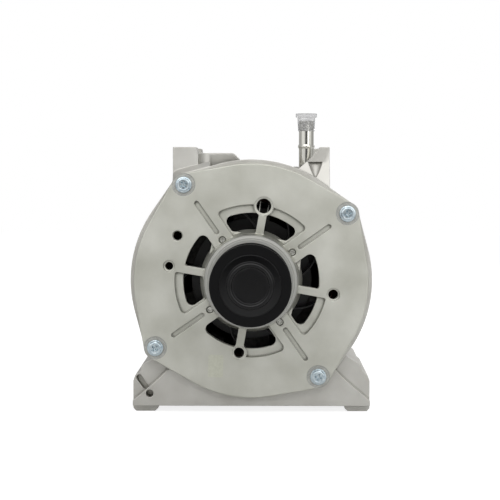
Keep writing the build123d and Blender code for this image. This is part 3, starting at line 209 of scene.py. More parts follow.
def soften(piece, round_mm):
    """Rounds the sharp edges and shades them smooth, with flat faces kept flat."""
    modify(
        piece, "BEVEL", width=round_mm * MM, segments=2, limit_method="ANGLE",
        angle_limit=SHARP_ANGLE, use_clamp_overlap=False, loop_slide=False,
    )
    pick(piece)
    bpy.ops.object.shade_smooth_by_angle(angle=SHADED_ANGLE)
    modify(piece, "WEIGHTED_NORMAL", keep_sharp=True, weight=100)


def wear(piece, material, body, slot, *nodes):
    """Gives a piece its finish, its body and the nodes that it stands for; its slot is not used."""
    piece.data.materials.clear()
    piece.data.materials.append(material)
    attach(piece, body)
    if nodes:
        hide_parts(*nodes)
    return piece


def dressed(node, name, material, body, slot, round_mm):
    """A CAD node's own shape with rounded edges and its finish, in place of the node."""
    piece = clean_copy(node, name)
    soften(piece, round_mm)
    return wear(piece, material, body, slot, node)


# The housing's corner colour is painted shade, with a little release agent.
housing_skin = die_cast("die_cast_aluminium_housing", light="CCCBC6", dark="BAB8B2", shade_and_dirt="93928C")
dressed("housing", "housing_casting", housing_skin, "stator_body", "cast_aluminium", round_mm=0.35)

# Water jacket sleeve: aluminium tube turned on a lathe and shrunk into the housing, so it is
# bright, with fine rings round the shaft. The rings are drawn wider than a lathe cuts them, here
# and on all turned steel, so that they show.
RING_DEPTH = 0.02 * MM
RING_ROUGHNESS = 0.15


def turned(name, light, dark, roughness, pitch_mm):
    """Turned metal with rings round the shaft, on faces across it and on walls along it."""
    metal = finish(name, Metallic=1.0)
    place = add_node(metal, "ShaderNodeTexCoord", "Object")
    across = add_node(
        metal, "ShaderNodeMapping", Vector=place, Location=(0, 0, -SHAFT_Z), Scale=(1, 0, 1),
    )
    radius = add_node(
        metal, "ShaderNodeVectorMath", "Value", {"operation": "LENGTH"}, _0=across,
    )
    along = add_node(metal, "ShaderNodeSeparateXYZ", "Y", Vector=place)
    lathe = add_node(metal, "ShaderNodeCombineXYZ", X=radius, Y=along)
    rings = add_node(
        metal, "ShaderNodeTexNoise", Vector=lathe, Scale=1 / (pitch_mm * MM), Detail=2.0,
    )
    tone = add_node(metal, "ShaderNodeValToRGB", stops=((0.35, dark), (0.65, light)), Fac=rings)
    rough = add_node(
        metal, "ShaderNodeMapRange", Value=rings,
        To_Min=roughness, To_Max=roughness + RING_ROUGHNESS,
    )
    bump = add_node(metal, "ShaderNodeBump", Height=rings, Distance=RING_DEPTH)
    return coat(metal, Base_Color=tone, Roughness=rough, Normal=bump)


turned_aluminium = turned("turned_aluminium", "DEDED9", "C2C2BD", roughness=0.26, pitch_mm=0.5)
dressed(
    "jacket_sleeve", "jacket_sleeve_turned", turned_aluminium,
    "stator_body", "machined_aluminium", round_mm=0.2,
)

# Jacket seals: two cords of nitrile rubber in grooves of the sleeve. They are matt black with
# a trace of talc from the mould.
TALC_PATCH = 1.5 * MM


def clouded(name, patch, detail, stops, roughness=None, depth=None, **values):
    """Finish whose colour, and roughness and relief if given, drift in patches of one size."""
    surface = finish(name, **values)
    place = add_node(surface, "ShaderNodeTexCoord", "Object")
    clouds = add_node(surface, "ShaderNodeTexNoise", Vector=place, Scale=1 / patch, Detail=detail)
    coat(surface, Base_Color=add_node(surface, "ShaderNodeValToRGB", stops=stops, Fac=clouds))
    if roughness:
        low, high = roughness
        rough = add_node(surface, "ShaderNodeMapRange", Value=clouds, To_Min=low, To_Max=high)
        coat(surface, Roughness=rough)
    if depth:
        coat(surface, Normal=add_node(surface, "ShaderNodeBump", Height=clouds, Distance=depth))
    return surface


seal_rubber = clouded(
    "nitrile_rubber", TALC_PATCH, detail=4.0, stops=((0.4, "151515"), (0.8, "2A2A29")),
    roughness=(0.6, 0.8),
)
dressed("jacket_seals", "jacket_seal_cords", seal_rubber, "stator_body", "seal_rubber", round_mm=0.6)

# Stator core: electrical steel sheets of half a millimetre, stacked and pressed. Their cut
# edges show as stripes across the stack, drawn twice as coarse here so that they show.
DRAWN_SHEET = 1.0 * MM
SHEET_EDGE_DEPTH = 0.05 * MM
sheet_stack = finish("electrical_steel_stack", Metallic=0.9, Roughness=0.5)
stack_place = add_node(sheet_stack, "ShaderNodeTexCoord", "Object")
stack_line = add_node(
    sheet_stack, "ShaderNodeMapping", Vector=stack_place, Scale=(0.01, 1, 0.01),
)
sheets = add_node(
    sheet_stack, "ShaderNodeTexNoise", Vector=stack_line, Scale=1 / DRAWN_SHEET, Detail=0.0,
)
coat(
    sheet_stack,
    Base_Color=add_node(
        sheet_stack, "ShaderNodeValToRGB", stops=((0.35, "3E3B38"), (0.65, "77736D")), Fac=sheets,
    ),
    Normal=add_node(sheet_stack, "ShaderNodeBump", Height=sheets, Distance=SHEET_EDGE_DEPTH),
)
dressed("stator_core", "stator_sheet_stack", sheet_stack, "stator_body", "laminated_steel", round_mm=0.1)

# Winding heads: enamelled copper wire bent from slot to slot in loops, dipped in brown varnish.
# The varnish is painted near black, as painted shade from deep inside the housing.
# Each slot holds eight wires, and each loop spans the three slots of one pole.
SLOT_COUNT = 36
SLOT_ANGLE = 2 * pi / SLOT_COUNT
LOOP_SLOTS = 3
WIRE_THICKNESS = 1.9 * MM
WIRE_LAYER = 2.2 * MM
ROW_LEAN = 0.11
LOW_CROWN = 0.72
HIGH_CROWN = 0.92
STRAIGHT_END = 0.16
SHOULDER = 0.28
VARNISH_PATCH = 5 * MM
FORWARD = Matrix.Rotation(radians(90), 4, "X")
BACKWARD = Matrix.Rotation(radians(-90), 4, "X")


def ring_size(node):
    """Inner radius, outer radius, front and back of a CAD node that lies round the shaft."""
    points = [vertex.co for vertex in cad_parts[node].data.vertices]
    spans = [Vector((p.x, p.z - SHAFT_Z)).length for p in points]
    depths = [p.y for p in points]
    return min(spans), max(spans), min(depths), max(depths)


def joined(pieces, name):
    """The pieces made one, under a new name."""
    bpy.ops.object.select_all(action="DESELECT")
    for piece in pieces:
        piece.select_set(True)
    bpy.context.view_layer.objects.active = pieces[0]
    if len(pieces) > 1:
        bpy.ops.object.join()
    pieces[0].name = name
    return pieces[0]


def set_out(blank, name, places, turn, spins):
    """Copies of a piece, each spun about its own Z, then turned and set in its place."""
    copies = []
    for k, (place, spin) in enumerate(zip(places, spins)):
        piece = bpy.data.objects.new(f"{name}_{k}", blank.data.copy())
        bpy.context.scene.collection.objects.link(piece)
        piece.data.transform(Matrix.Translation(place) @ turn @ Matrix.Rotation(spin, 4, "Z"))
        copies.append(piece)
    bpy.data.objects.remove(blank)
    return joined(copies, name)


def wire(name, points, thickness):
    """Round wire bent smoothly through the points."""
    line = bpy.data.curves.new(name, "CURVE")
    line.dimensions = "3D"
    line.bevel_depth = thickness / 2
    line.bevel_resolution = 1
    line.resolution_u = 3
    line.use_fill_caps = True
    path = line.splines.new("NURBS")
    path.points.add(len(points) - 1)
    for point, place in zip(path.points, points):
        point.co = (*place, 1)
    path.order_u = 3
    path.use_endpoint_u = True
    piece = bpy.data.objects.new(name, line)
    bpy.context.scene.collection.objects.link(piece)
    pick(piece)
    bpy.ops.object.convert(target="MESH")
    bpy.ops.object.shade_smooth()
    return piece


def around(radius, angle, height):
    """Point at a radius, an angle and a height about the Z axis."""
    return Vector((radius * cos(angle), radius * sin(angle), height))


# Near-black brown: the varnish's own colour darkened further as painted shade.
shaded_varnished_copper = clouded(
    "varnished_copper_wire", VARNISH_PATCH, detail=3.0, stops=((0.3, "1C0F09"), (0.75, "3A1D10")),
    roughness=(0.5, 0.7), Specular_IOR_Level=0.15,
)
for side, turn in (("front", FORWARD), ("rear", BACKWARD)):
    node = f"stator_winding_{side}"
    inner, outer, front, back = ring_size(node)
    reach = back - front
    core_end = Vector((0, back if side == "front" else front, SHAFT_Z))
    loops = []
    for pair in (0, 1):
        for row in (-1, 1):
            low_r = inner + WIRE_THICKNESS / 2 + 2 * pair * WIRE_LAYER
            high_r = low_r + WIRE_LAYER
            crown = reach * (LOW_CROWN if row < 0 else HIGH_CROWN)
            bends = (
                (low_r, 0, 0), (low_r, 0, STRAIGHT_END * reach),
                (low_r, 0.25, SHOULDER * reach), (low_r, 1.3, crown),
                (high_r, LOOP_SLOTS - 1.3, crown), (high_r, LOOP_SLOTS - 0.25, SHOULDER * reach),
                (high_r, LOOP_SLOTS, STRAIGHT_END * reach), (high_r, LOOP_SLOTS, 0),
            )
            path = [
                around(radius, (row * ROW_LEAN + slots) * SLOT_ANGLE, height)
                for radius, slots, height in bends
            ]
            loops.append(wire(f"loop_{pair}_{row}", path, WIRE_THICKNESS))
    bundle = joined(loops, "loop_bundle")
    spins = [SLOT_ANGLE * k for k in range(SLOT_COUNT)]
    head = set_out(bundle, f"{node}_wires", [core_end] * SLOT_COUNT, turn, spins)
    wear(head, shaded_varnished_copper, "stator_body", "enamelled_copper", node)

# Phase leads: three straight wires in brown varnished sleeving, from the rear winding head to
# the terminal board.
dressed(
    "phase_leads", "phase_lead_wires", shaded_varnished_copper,
    "stator_body", "enamelled_copper", round_mm=0.3,
)

# Rotor shaft: steel ground between centres, so it mirrors softly, with rings too fine to feel.
# The claw poles, the slip rings and both bearings are pressed onto it.
ground_steel = turned("ground_steel", "BDBDBA", "A6A6A3", roughness=0.16, pitch_mm=0.4)
dressed("rotor_shaft", "shaft_ground", ground_steel, "rotor", "forged_steel", round_mm=0.4)

# Claw poles: hot-forged steel with a dark scale that the press leaves, bright on no side but
# the turned rim, which runs close to the stator.
SCALE_PATCH = 3 * MM
SCALE_DEPTH = 0.05 * MM
RIM_SHARE = 0.997
forged_steel = clouded(
    "forged_steel", SCALE_PATCH, detail=4.0, stops=((0.35, "262524"), (0.7, "3E3C3A")),
    roughness=(0.45, 0.65), depth=SCALE_DEPTH, Metallic=0.8,
)
turned_rim = turned("turned_claw_rim", "8E8C88", "6E6C69", roughness=0.3, pitch_mm=0.5)


def machine_faces(piece, material, is_machined):
    """Gives a second finish to the faces whose middle passes the test."""
    piece.data.materials.append(material)
    for face in piece.data.polygons:
        if is_machined(face.center):
            face.material_index = 1


def from_shaft(point):
    """Distance of a point from the shaft's line."""
    return Vector((point.x, point.z - SHAFT_Z)).length


for side in ("front", "rear"):
    node = f"claw_pole_{side}"
    rim_r = ring_size(node)[1]
    claw = dressed(node, f"{node}_forging", forged_steel, "rotor", "forged_steel", round_mm=0.5)
    machine_faces(claw, turned_rim, lambda point: from_shaft(point) > RIM_SHARE * rim_r)

# Field coil: enamelled wire wound tight in layers on a moulded bobbin, then varnished. The
# turns show as round ridges side by side. A wave pattern of scale 1 repeats every pi / 10.
TURN_PITCH = 0.9 * MM
TURN_DEPTH = 0.3 * MM
WAVE_UNIT = pi / 10
field_winding = finish("wound_field_wire", Metallic=0.6, Roughness=0.3)
coil_place = add_node(field_winding, "ShaderNodeTexCoord", "Object")
turns = add_node(
    field_winding, "ShaderNodeTexWave", "Fac", {"bands_direction": "Y"},
    Vector=coil_place, Scale=WAVE_UNIT / TURN_PITCH,
)
coat(
    field_winding,
    Base_Color=add_node(
        field_winding, "ShaderNodeValToRGB", stops=((0.1, "1D0E08"), (0.7, "6B331B")), Fac=turns,
    ),
    Normal=add_node(field_winding, "ShaderNodeBump", Height=turns, Distance=TURN_DEPTH),
)
dressed("field_coil", "field_coil_winding", field_winding, "rotor", "enamelled_copper", round_mm=0.5)

# Bobbin: glass-filled polyamide, moulded black. Short fibres near the skin make it faintly
# mottled and keep it from shining. They are drawn coarser than they are, so that they show.
FIBRE_PATCH = 0.6 * MM
FIBRE_DEPTH = 0.04 * MM
MOULD_FLOW = 14 * MM
moulded_black = finish("glass_filled_polyamide")
fibre_place = add_node(moulded_black, "ShaderNodeTexCoord", "Object")
fibres = add_node(
    moulded_black, "ShaderNodeTexNoise", Vector=fibre_place, Scale=1 / FIBRE_PATCH, Detail=3.0,
)
flow = add_node(
    moulded_black, "ShaderNodeTexNoise", Vector=fibre_place, Scale=1 / MOULD_FLOW, Detail=3.0,
)
coat(
    moulded_black,
    Base_Color=add_node(
        moulded_black, "ShaderNodeValToRGB", stops=((0.3, "141414"), (0.75, "232322")),
        Fac=fibres,
    ),
    Roughness=add_node(moulded_black, "ShaderNodeMapRange", Value=flow, To_Min=0.4, To_Max=0.6),
    Normal=add_node(moulded_black, "ShaderNodeBump", Height=fibres, Distance=FIBRE_DEPTH),
)
dressed(
    "coil_bobbin", "coil_bobbin_moulding", moulded_black, "rotor", "inner_black_plastic", round_mm=0.2,
)

# Fans: sheet steel stamped and bent, welded to the poles and dipped black with them. Their black
# is made deeper still as painted shade, so that little of them shows through the windows. The
# dip pools and dries unevenly.
DIP_PATCH = 7 * MM
black_dip_and_shade_sheet = clouded(
    "black_dipped_sheet_steel", DIP_PATCH, detail=4.0, stops=((0.35, "10100F"), (0.75, "1F1F1D")),
    roughness=(0.3, 0.5),
)
dressed("front_fan", "front_fan_sheet", black_dip_and_shade_sheet, "rotor", "pressed_steel", round_mm=0.25)
dressed("rear_fan", "rear_fan_sheet", black_dip_and_shade_sheet, "rotor", "pressed_steel", round_mm=0.25)

# Bearings: ground steel rings with eight balls in a pressed cage between them, closed on both
# sides by rubber seals that are fixed in the outer ring.
BALL_COUNT = 8
SEAL_THICKNESS = 0.8 * MM
SEAL_ROUND_MM = 0.15
CAGE_SHEET = 0.6 * MM
CAGE_ROUND_MM = 0.1
RACE_CLEARANCE = 0.05 * MM
RING_SIDES = 64


def drawn_out(name, sides, *profile, hollow=False):
    """Round piece about its own Z axis: a circle drawn out ring by ring through (radius, height).
    A hollow one has no ends and closes on its first ring."""
    bpy.ops.object.select_all(action="DESELECT")
    bpy.ops.mesh.primitive_circle_add(
        vertices=sides, radius=profile[0][0], fill_type="NOTHING" if hollow else "NGON",
    )
    piece = bpy.context.active_object
    piece.name = name
    edit(piece)
    bpy.ops.transform.translate(value=(0, 0, profile[0][1]))
    rings = [*profile, profile[0]] if hollow else profile
    for (old_r, old_z), (new_r, new_z) in zip(rings, rings[1:]):
        bpy.ops.mesh.extrude_region_move(TRANSFORM_OT_translate={"value": (0, 0, new_z - old_z)})
        growth = new_r / old_r
        bpy.ops.transform.resize(value=(growth, growth, 1), center_override=(0, 0, new_z))
    bpy.ops.mesh.select_all(action="SELECT")
    bpy.ops.mesh.remove_doubles(threshold=MERGE_DISTANCE)
    bpy.ops.mesh.normals_make_consistent(inside=False)
    bpy.ops.object.mode_set(mode="OBJECT")
    return piece


for name, row in (("front_bearing", "front_ball_row"), ("rear_bearing", "rear_ball_row")):
    dressed(
        f"{name}_outer_ring", f"{name}_outer_ground", ground_steel,
        "stator_body", "bearing_steel", round_mm=0.4,
    )
    dressed(
        f"{name}_inner_ring", f"{name}_inner_ground", ground_steel,
        "rotor", "bearing_steel", round_mm=0.4,
    )
    inner, outer, front, back = ring_size(f"{name}_ball_row")
    middle = Vector((0, (front + back) / 2, SHAFT_Z))
    track = (inner + outer) / 2
    ball_r = (outer - inner) / 2 - RACE_CLEARANCE
    bpy.ops.object.select_all(action="DESELECT")
    bpy.ops.mesh.primitive_uv_sphere_add(segments=24, ring_count=16, radius=ball_r)
    ball = bpy.context.active_object
    bpy.ops.object.shade_smooth()
    around_track = [around(track, 2 * pi * k / BALL_COUNT, 0) for k in range(BALL_COUNT)]
    balls = set_out(ball, "balls", around_track, Matrix.Identity(4), [0] * BALL_COUNT)
    cage_inner = track - 0.5 * ball_r
    cage_outer = track + 0.5 * ball_r
    cage = drawn_out(
        "cage", RING_SIDES, (cage_inner, -CAGE_SHEET), (cage_outer, -CAGE_SHEET),
        (cage_outer, CAGE_SHEET), (cage_inner, CAGE_SHEET), hollow=True,
    )
    soften(cage, CAGE_ROUND_MM)
    ball_cage = joined([balls, cage], f"{name}_balls_in_cage")
    ball_cage.data.transform(Matrix.Translation(middle) @ FORWARD)
    wear(ball_cage, ground_steel, row, "bearing_steel", f"{name}_ball_row")
    lip = inner + 2 * RACE_CLEARANCE
    dish = track + 0.3 * ball_r
    for end, face, inwards in (
        ("front", front - SEAL_THICKNESS / 4, BACKWARD),
        ("back", back + SEAL_THICKNESS / 4, FORWARD),
    ):
        seal = drawn_out(
            "seal", RING_SIDES, (lip, 0), (track, 0), (dish, 0.3 * SEAL_THICKNESS), (outer, 0),
            (outer, SEAL_THICKNESS), (dish, 1.2 * SEAL_THICKNESS), (track, SEAL_THICKNESS),
            (lip, SEAL_THICKNESS), hollow=True,
        )
        soften(seal, SEAL_ROUND_MM)
        seal.name = f"{name}_{end}_seal"
        seal.data.transform(Matrix.Translation((0, face, SHAFT_Z)) @ inwards)
        wear(seal, seal_rubber, "stator_body", "seal_rubber")

# Rear bearing sleeve: a thin cup moulded in black polyamide. It sits in the bracket and lets
# the outer ring creep as the rotor warms and grows.
dressed(
    "rear_bearing_sleeve", "rear_bearing_sleeve_moulding", moulded_black,
    "stator_body", "inner_black_plastic", round_mm=0.2,
)

# Front plate: a die casting as well. Its hub nose and the spots under the screw heads are
# turned bright after casting, and the rest keeps its dull skin.
SCREW_SPOT_R = 7.9 * MM
HUB_TURNED_R = 31.9 * MM
FACE_DEPTH = 1 * MM
# The plate's corners take a much darker painted shade than the housing's, with a little release agent.
plate_skin = die_cast("die_cast_aluminium_plate", light="CDCDC5", dark="B9B9AF", shade_and_dirt="504F48")
turned_face = turned("turned_casting_face", "BDBDB8", "9E9E99", roughness=0.5, pitch_mm=0.45)
coat(turned_face, Metallic=0.5)
plate = dressed(
    "front_plate", "front_plate_casting", plate_skin, "stator_body", "cast_aluminium", round_mm=0.35,
)


def turn_of(box):
    """How far round the shaft a box lies, counter-clockwise from +X."""
    low, high = box
    return atan2(low.z + high.z - 2 * SHAFT_Z, low.x + high.x) % (2 * pi)


def solids(node):
    """Lowest and highest corner of each separate solid of a CAD node, in order of turn."""
    whole = clean_copy(node, "loose_solids")
    edit(whole)
    bpy.ops.mesh.separate(type="LOOSE")
    bpy.ops.object.mode_set(mode="OBJECT")
    boxes = []
    for part in list(bpy.context.selected_objects):
        corners = list(zip(*(tuple(corner) for corner in part.bound_box)))
        boxes.append((Vector(map(min, corners)), Vector(map(max, corners))))
        bpy.data.objects.remove(part)
    return sorted(boxes, key=turn_of)


def middle_of(box, y):
    """Middle of a box as seen from the front, at the given depth."""
    low, high = box
    return Vector(((low.x + high.x) / 2, y, (low.z + high.z) / 2))


screw_middles = [middle_of(box, 0) for box in solids("front_plate_screws")]


def is_turned(point):
    """Whether a point of the plate lies on its hub nose or on a spot under a screw."""
    if point.y < PLATE_FACE - FACE_DEPTH:
        return from_shaft(point) < HUB_TURNED_R
    if point.y > PLATE_FACE + FACE_DEPTH:
        return False
    return any(
        Vector((point.x - middle.x, point.z - middle.z)).length < SCREW_SPOT_R
        for middle in screw_middles
    )


machine_faces(plate, turned_face, is_turned)

# Bearing retainer: a plate pressed from sheet steel, zinc plated with a blue passivation that
# clouds here and there.
BLOOM_PATCH = 2.5 * MM
ZINC_ROUGHNESS = (0.22, 0.36)
blue_zinc = clouded(
    "blue_zinc_plated_steel", BLOOM_PATCH, detail=3.0, stops=((0.3, "AABBC5"), (0.7, "D4DDE0")),
    roughness=ZINC_ROUGHNESS, Metallic=1.0,
)
dressed(
    "bearing_retainer", "bearing_retainer_pressing", blue_zinc,
    "stator_body", "pressed_steel", round_mm=0.3,
)

# Retainer screws: short screws in plain zinc, put in from the back, so that only the dimpled
# ends of their threads show in the plate, a little below its face.
THREAD_DEPTH = 0.3 * MM
THREAD_PITCH = 0.8 * MM
HEAD_TO_SHANK = 1.8
THREAD_RUN_IN = 1 * MM
THREAD_RUN_OUT = 1.4 * MM
POINT_CHAMFER = 0.8 * MM
DIMPLE_DEPTH = 0.9 * MM
SMALL_SIDES = 32


def thread(radius, depth, pitch, low, high):
    """Ring profile of a thread between two heights, drawn as rings and not as a helix."""
    turns = int((high - low) / pitch)
    return [
        point
        for k in range(turns)
        for point in ((radius, low + k * pitch), (radius - depth, low + (k + 0.5) * pitch))
    ]


clear_zinc = clouded(
    "clear_zinc_plated_steel", BLOOM_PATCH, detail=3.0, stops=((0.3, "B4B4AE"), (0.7, "D8D8D2")),
    roughness=ZINC_ROUGHNESS, Metallic=1.0,
)
retainer_boxes = solids("retainer_screws")
low, high = retainer_boxes[0]
head_r = (high.x - low.x) / 2
shank_r = head_r / HEAD_TO_SHANK
length = high.y - low.y
retainer_screw = drawn_out(
    "retainer_screw", SMALL_SIDES,
    (0.8 * head_r, 0), (head_r, 0.25 * shank_r), (head_r, shank_r), (shank_r, shank_r),
    *thread(
        shank_r, THREAD_DEPTH, THREAD_PITCH, shank_r + THREAD_RUN_IN, length - THREAD_RUN_OUT,
    ),
    (shank_r, length - POINT_CHAMFER), (0.76 * shank_r, length), (0.5 * shank_r, length),
    (0.34 * shank_r, length - DIMPLE_DEPTH),
)
soften(retainer_screw, 0.06)
retainer_seats = [middle_of(box, box[1].y) for box in retainer_boxes]
retainer_set = set_out(
    retainer_screw, "retainer_screw_set", retainer_seats, FORWARD, range(len(retainer_seats)),
)
wear(retainer_set, clear_zinc, "stator_body", "zinc_plated_steel", "retainer_screws")

# Front plate screws: cold-headed steel with a flanged hexagon and a cross recess, plated with
# blue zinc. The recess is tapered, so its walls go dark while the rim of the head shines.
FLANGE_R = 5.6 * MM
FLANGE_THICKNESS = 1.4 * MM
HEXAGON_R = 4.62 * MM
HEAD_HEIGHT = 3.4 * MM
HEAD_CHAMFER = 0.55 * MM
HEAD_DISH = 0.25 * MM
SHANK_R = 2.5 * MM
SHANK_TIP = 0.5 * MM
CROSS_SPAN = 5.4 * MM
CROSS_WIDTH = 1.5 * MM
CROSS_DEPTH = 2.0 * MM
CROSS_OVERCUT = 0.5 * MM
CROSS_BAR_SIDES = 4
HEXAGON_SIDES = 6
SCREW_SIDES = 48
PLAIN_SHANK = 2 * MM
SHANK_NECK = 1 * MM
SPIN_STEP = 1.9


def combine(piece, operation, tool):
    """Joins, cuts or trims a piece by another, which is then gone."""
    modify(piece, "BOOLEAN", operation=operation, object=tool, solver="EXACT")
    bpy.data.objects.remove(tool)


def hexagon_screw(name, grip):
    """Flanged screw that stands on its seat at the origin, with its shank below."""
    screw = drawn_out(
        name, SCREW_SIDES,
        (0.8 * SHANK_R, -grip), (SHANK_R, -grip + SHANK_TIP),
        *thread(SHANK_R, THREAD_DEPTH, THREAD_PITCH, -grip + THREAD_RUN_IN, -PLAIN_SHANK),
        (SHANK_R, -SHANK_NECK), (SHANK_R, 0), (FLANGE_R, 0), (FLANGE_R, 0.55 * FLANGE_THICKNESS),
        (0.95 * FLANGE_R, 0.85 * FLANGE_THICKNESS), (0.8 * FLANGE_R, FLANGE_THICKNESS),
    )
    head = drawn_out(
        "head", HEXAGON_SIDES, (HEXAGON_R, 0.5 * FLANGE_THICKNESS), (HEXAGON_R, HEAD_HEIGHT),
    )
    crown = drawn_out(
        "crown", SCREW_SIDES,
        (1.2 * HEXAGON_R, 0), (1.2 * HEXAGON_R, HEAD_HEIGHT - 1.6 * HEAD_CHAMFER),
        (0.8 * HEXAGON_R, HEAD_HEIGHT), (0.72 * HEXAGON_R, HEAD_HEIGHT),
        (0.68 * HEXAGON_R, HEAD_HEIGHT - HEAD_DISH),
    )
    combine(head, "INTERSECT", crown)
    combine(screw, "UNION", head)
    for angle in (0, pi / 2):
        bar = drawn_out(
            "bar", CROSS_BAR_SIDES, (0.35 * CROSS_SPAN, HEAD_HEIGHT - CROSS_DEPTH),
            (0.75 * CROSS_SPAN, HEAD_HEIGHT + CROSS_OVERCUT),
        )
        squeeze = Matrix.Diagonal((1, CROSS_WIDTH / CROSS_SPAN, 1, 1))
        bar.data.transform(
            Matrix.Rotation(angle, 4, "Z") @ squeeze @ Matrix.Rotation(pi / 4, 4, "Z")
        )
        combine(screw, "DIFFERENCE", bar)
    soften(screw, 0.12)
    return screw


def screw_set(node, name, turn, seat_of, first_spin):
    """A group of the flanged screws, seated where the CAD node has them."""
    boxes = solids(node)
    low, high = boxes[0]
    grip = high.y - low.y - HEAD_HEIGHT
    spins = [first_spin + SPIN_STEP * k for k in range(len(boxes))]
    places = [middle_of(box, seat_of(box)) for box in boxes]
    screws = set_out(hexagon_screw("flanged_screw", grip), name, places, turn, spins)
    wear(screws, blue_zinc, "stator_body", "zinc_plated_steel", node)


screw_set(
    "front_plate_screws", "front_plate_screw_set", FORWARD,
    lambda box: box[0].y + HEAD_HEIGHT, first_spin=0.3,
)

# Blank sticker: a small piece of pale paper on the plate, stuck by hand a little askew. Its
# fibres take up some grey of the casting below.
STICKER_WIDTH = 10.2 * MM
STICKER_HEIGHT = 15.3 * MM
STICKER_THICKNESS = 0.12 * MM
STICKER_CORNER = 0.7 * MM
STICKER_TILT = radians(-2.0)
STICKER_PLACE = Vector((-24.2 * MM, PLATE_FACE, SHAFT_Z - 58.2 * MM))
PULP_PATCH = 1.2 * MM
PULP_DEPTH = 0.02 * MM
bpy.ops.object.select_all(action="DESELECT")
bpy.ops.mesh.primitive_plane_add(size=1)
sticker = bpy.context.active_object
sticker.name = "blank_sticker"
edit(sticker)
bpy.ops.transform.resize(value=(STICKER_WIDTH, STICKER_HEIGHT, 1), center_override=(0, 0, 0))
bpy.ops.mesh.bevel(offset=STICKER_CORNER, segments=4, affect="VERTICES")
bpy.ops.mesh.select_all(action="SELECT")
bpy.ops.mesh.extrude_region_move(TRANSFORM_OT_translate={"value": (0, 0, STICKER_THICKNESS)})
bpy.ops.mesh.select_all(action="SELECT")
bpy.ops.mesh.normals_make_consistent(inside=False)
bpy.ops.object.mode_set(mode="OBJECT")
sticker.data.transform(
    Matrix.Translation(STICKER_PLACE) @ FORWARD @ Matrix.Rotation(STICKER_TILT, 4, "Z")
)
paper = clouded(
    "uncoated_paper_sticker", PULP_PATCH, detail=5.0, stops=((0.3, "BCBDAE"), (0.75, "C8C9BB")),
    depth=PULP_DEPTH, Roughness=0.75,
)
wear(sticker, paper, "stator_body", "cast_aluminium")

# Spacer collar: a short ring of turned steel on the shaft, clamped between the bearing's inner
# ring and the clutch hub.
dressed("spacer_collar", "spacer_collar_turned", ground_steel, "rotor", "forged_steel", round_mm=0.3)

# One-way clutch: ground rollers between the hub on the shaft and the pulley's bore. They wedge
# when the belt drives, and roll free when the rotor runs ahead of it.
dressed("clutch_hub", "clutch_hub_turned", ground_steel, "rotor", "forged_steel", round_mm=0.3)
dressed("clutch_rollers", "clutch_roller_set", ground_steel, "rotor", "forged_steel", round_mm=0.3)

# Pulley: turned steel with six belt ribs under a black electrocoat. The coat is thin and even,
# half gloss, and the marks of the lathe stay just visible under it.
black_coat = turned("black_electrocoat", "0A0A0B", "070708", roughness=0.3, pitch_mm=0.8)
coat(black_coat, Metallic=0.0, Specular_IOR_Level=0.14)
dressed("pulley_rim", "pulley_rim_turned", black_coat, "pulley", "pulley_black_steel", round_mm=0.25)

# Pulley cap: black polyamide snapped into the pulley's mouth, with a raised ring. The mould was
# sandblasted fine, so light draws soft arcs on the ring. Hands leave faint smudges on it.
SATIN_GRAIN = 0.4 * MM
SATIN_DEPTH = 0.01 * MM
SMUDGE_SIZE = 12 * MM
cap_plastic = finish("satin_polyamide_cap", Specular_IOR_Level=0.32)
cap_place = add_node(cap_plastic, "ShaderNodeTexCoord", "Object")
satin = add_node(
    cap_plastic, "ShaderNodeTexNoise", Vector=cap_place, Scale=1 / SATIN_GRAIN, Detail=2.0,
)
smudges = add_node(
    cap_plastic, "ShaderNodeTexNoise", Vector=cap_place, Scale=1 / SMUDGE_SIZE, Detail=4.0,
)
coat(
    cap_plastic,
    Base_Color=add_node(
        cap_plastic, "ShaderNodeValToRGB", stops=((0.3, "030304"), (0.7, "060607")),
        Fac=smudges,
    ),
    Roughness=add_node(
        cap_plastic, "ShaderNodeMapRange", Value=smudges, To_Min=0.15, To_Max=0.22,
    ),
    Normal=add_node(cap_plastic, "ShaderNodeBump", Height=satin, Distance=SATIN_DEPTH),
)
dressed("pulley_cap", "pulley_cap_moulding", cap_plastic, "pulley", "pulley_cap_plastic", round_mm=0.5)

# Rear bracket: a die casting like the front plate, fixed to the back of the housing with four
# flanged screws of the same kind.
dressed(
    "rear_bracket", "rear_bracket_casting", plate_skin, "stator_body", "cast_aluminium", round_mm=0.4,
)
screw_set(
    "rear_bracket_screws", "rear_bracket_screw_set", BACKWARD,
    lambda box: box[1].y - HEAD_HEIGHT, first_spin=0.8,
)

# Slip rings: two copper bands turned true on the shaft, in a black moulded body. The brushes
# polish the middle of each band.
bare_copper = turned("bare_copper", "C98A68", "A9684A", roughness=0.22, pitch_mm=0.3)
dressed("slip_rings", "slip_ring_pair", bare_copper, "rotor", "copper", round_mm=0.2)
dressed(
    "slip_ring_body", "slip_ring_moulding", moulded_black, "rotor", "inner_black_plastic", round_mm=0.2,
)

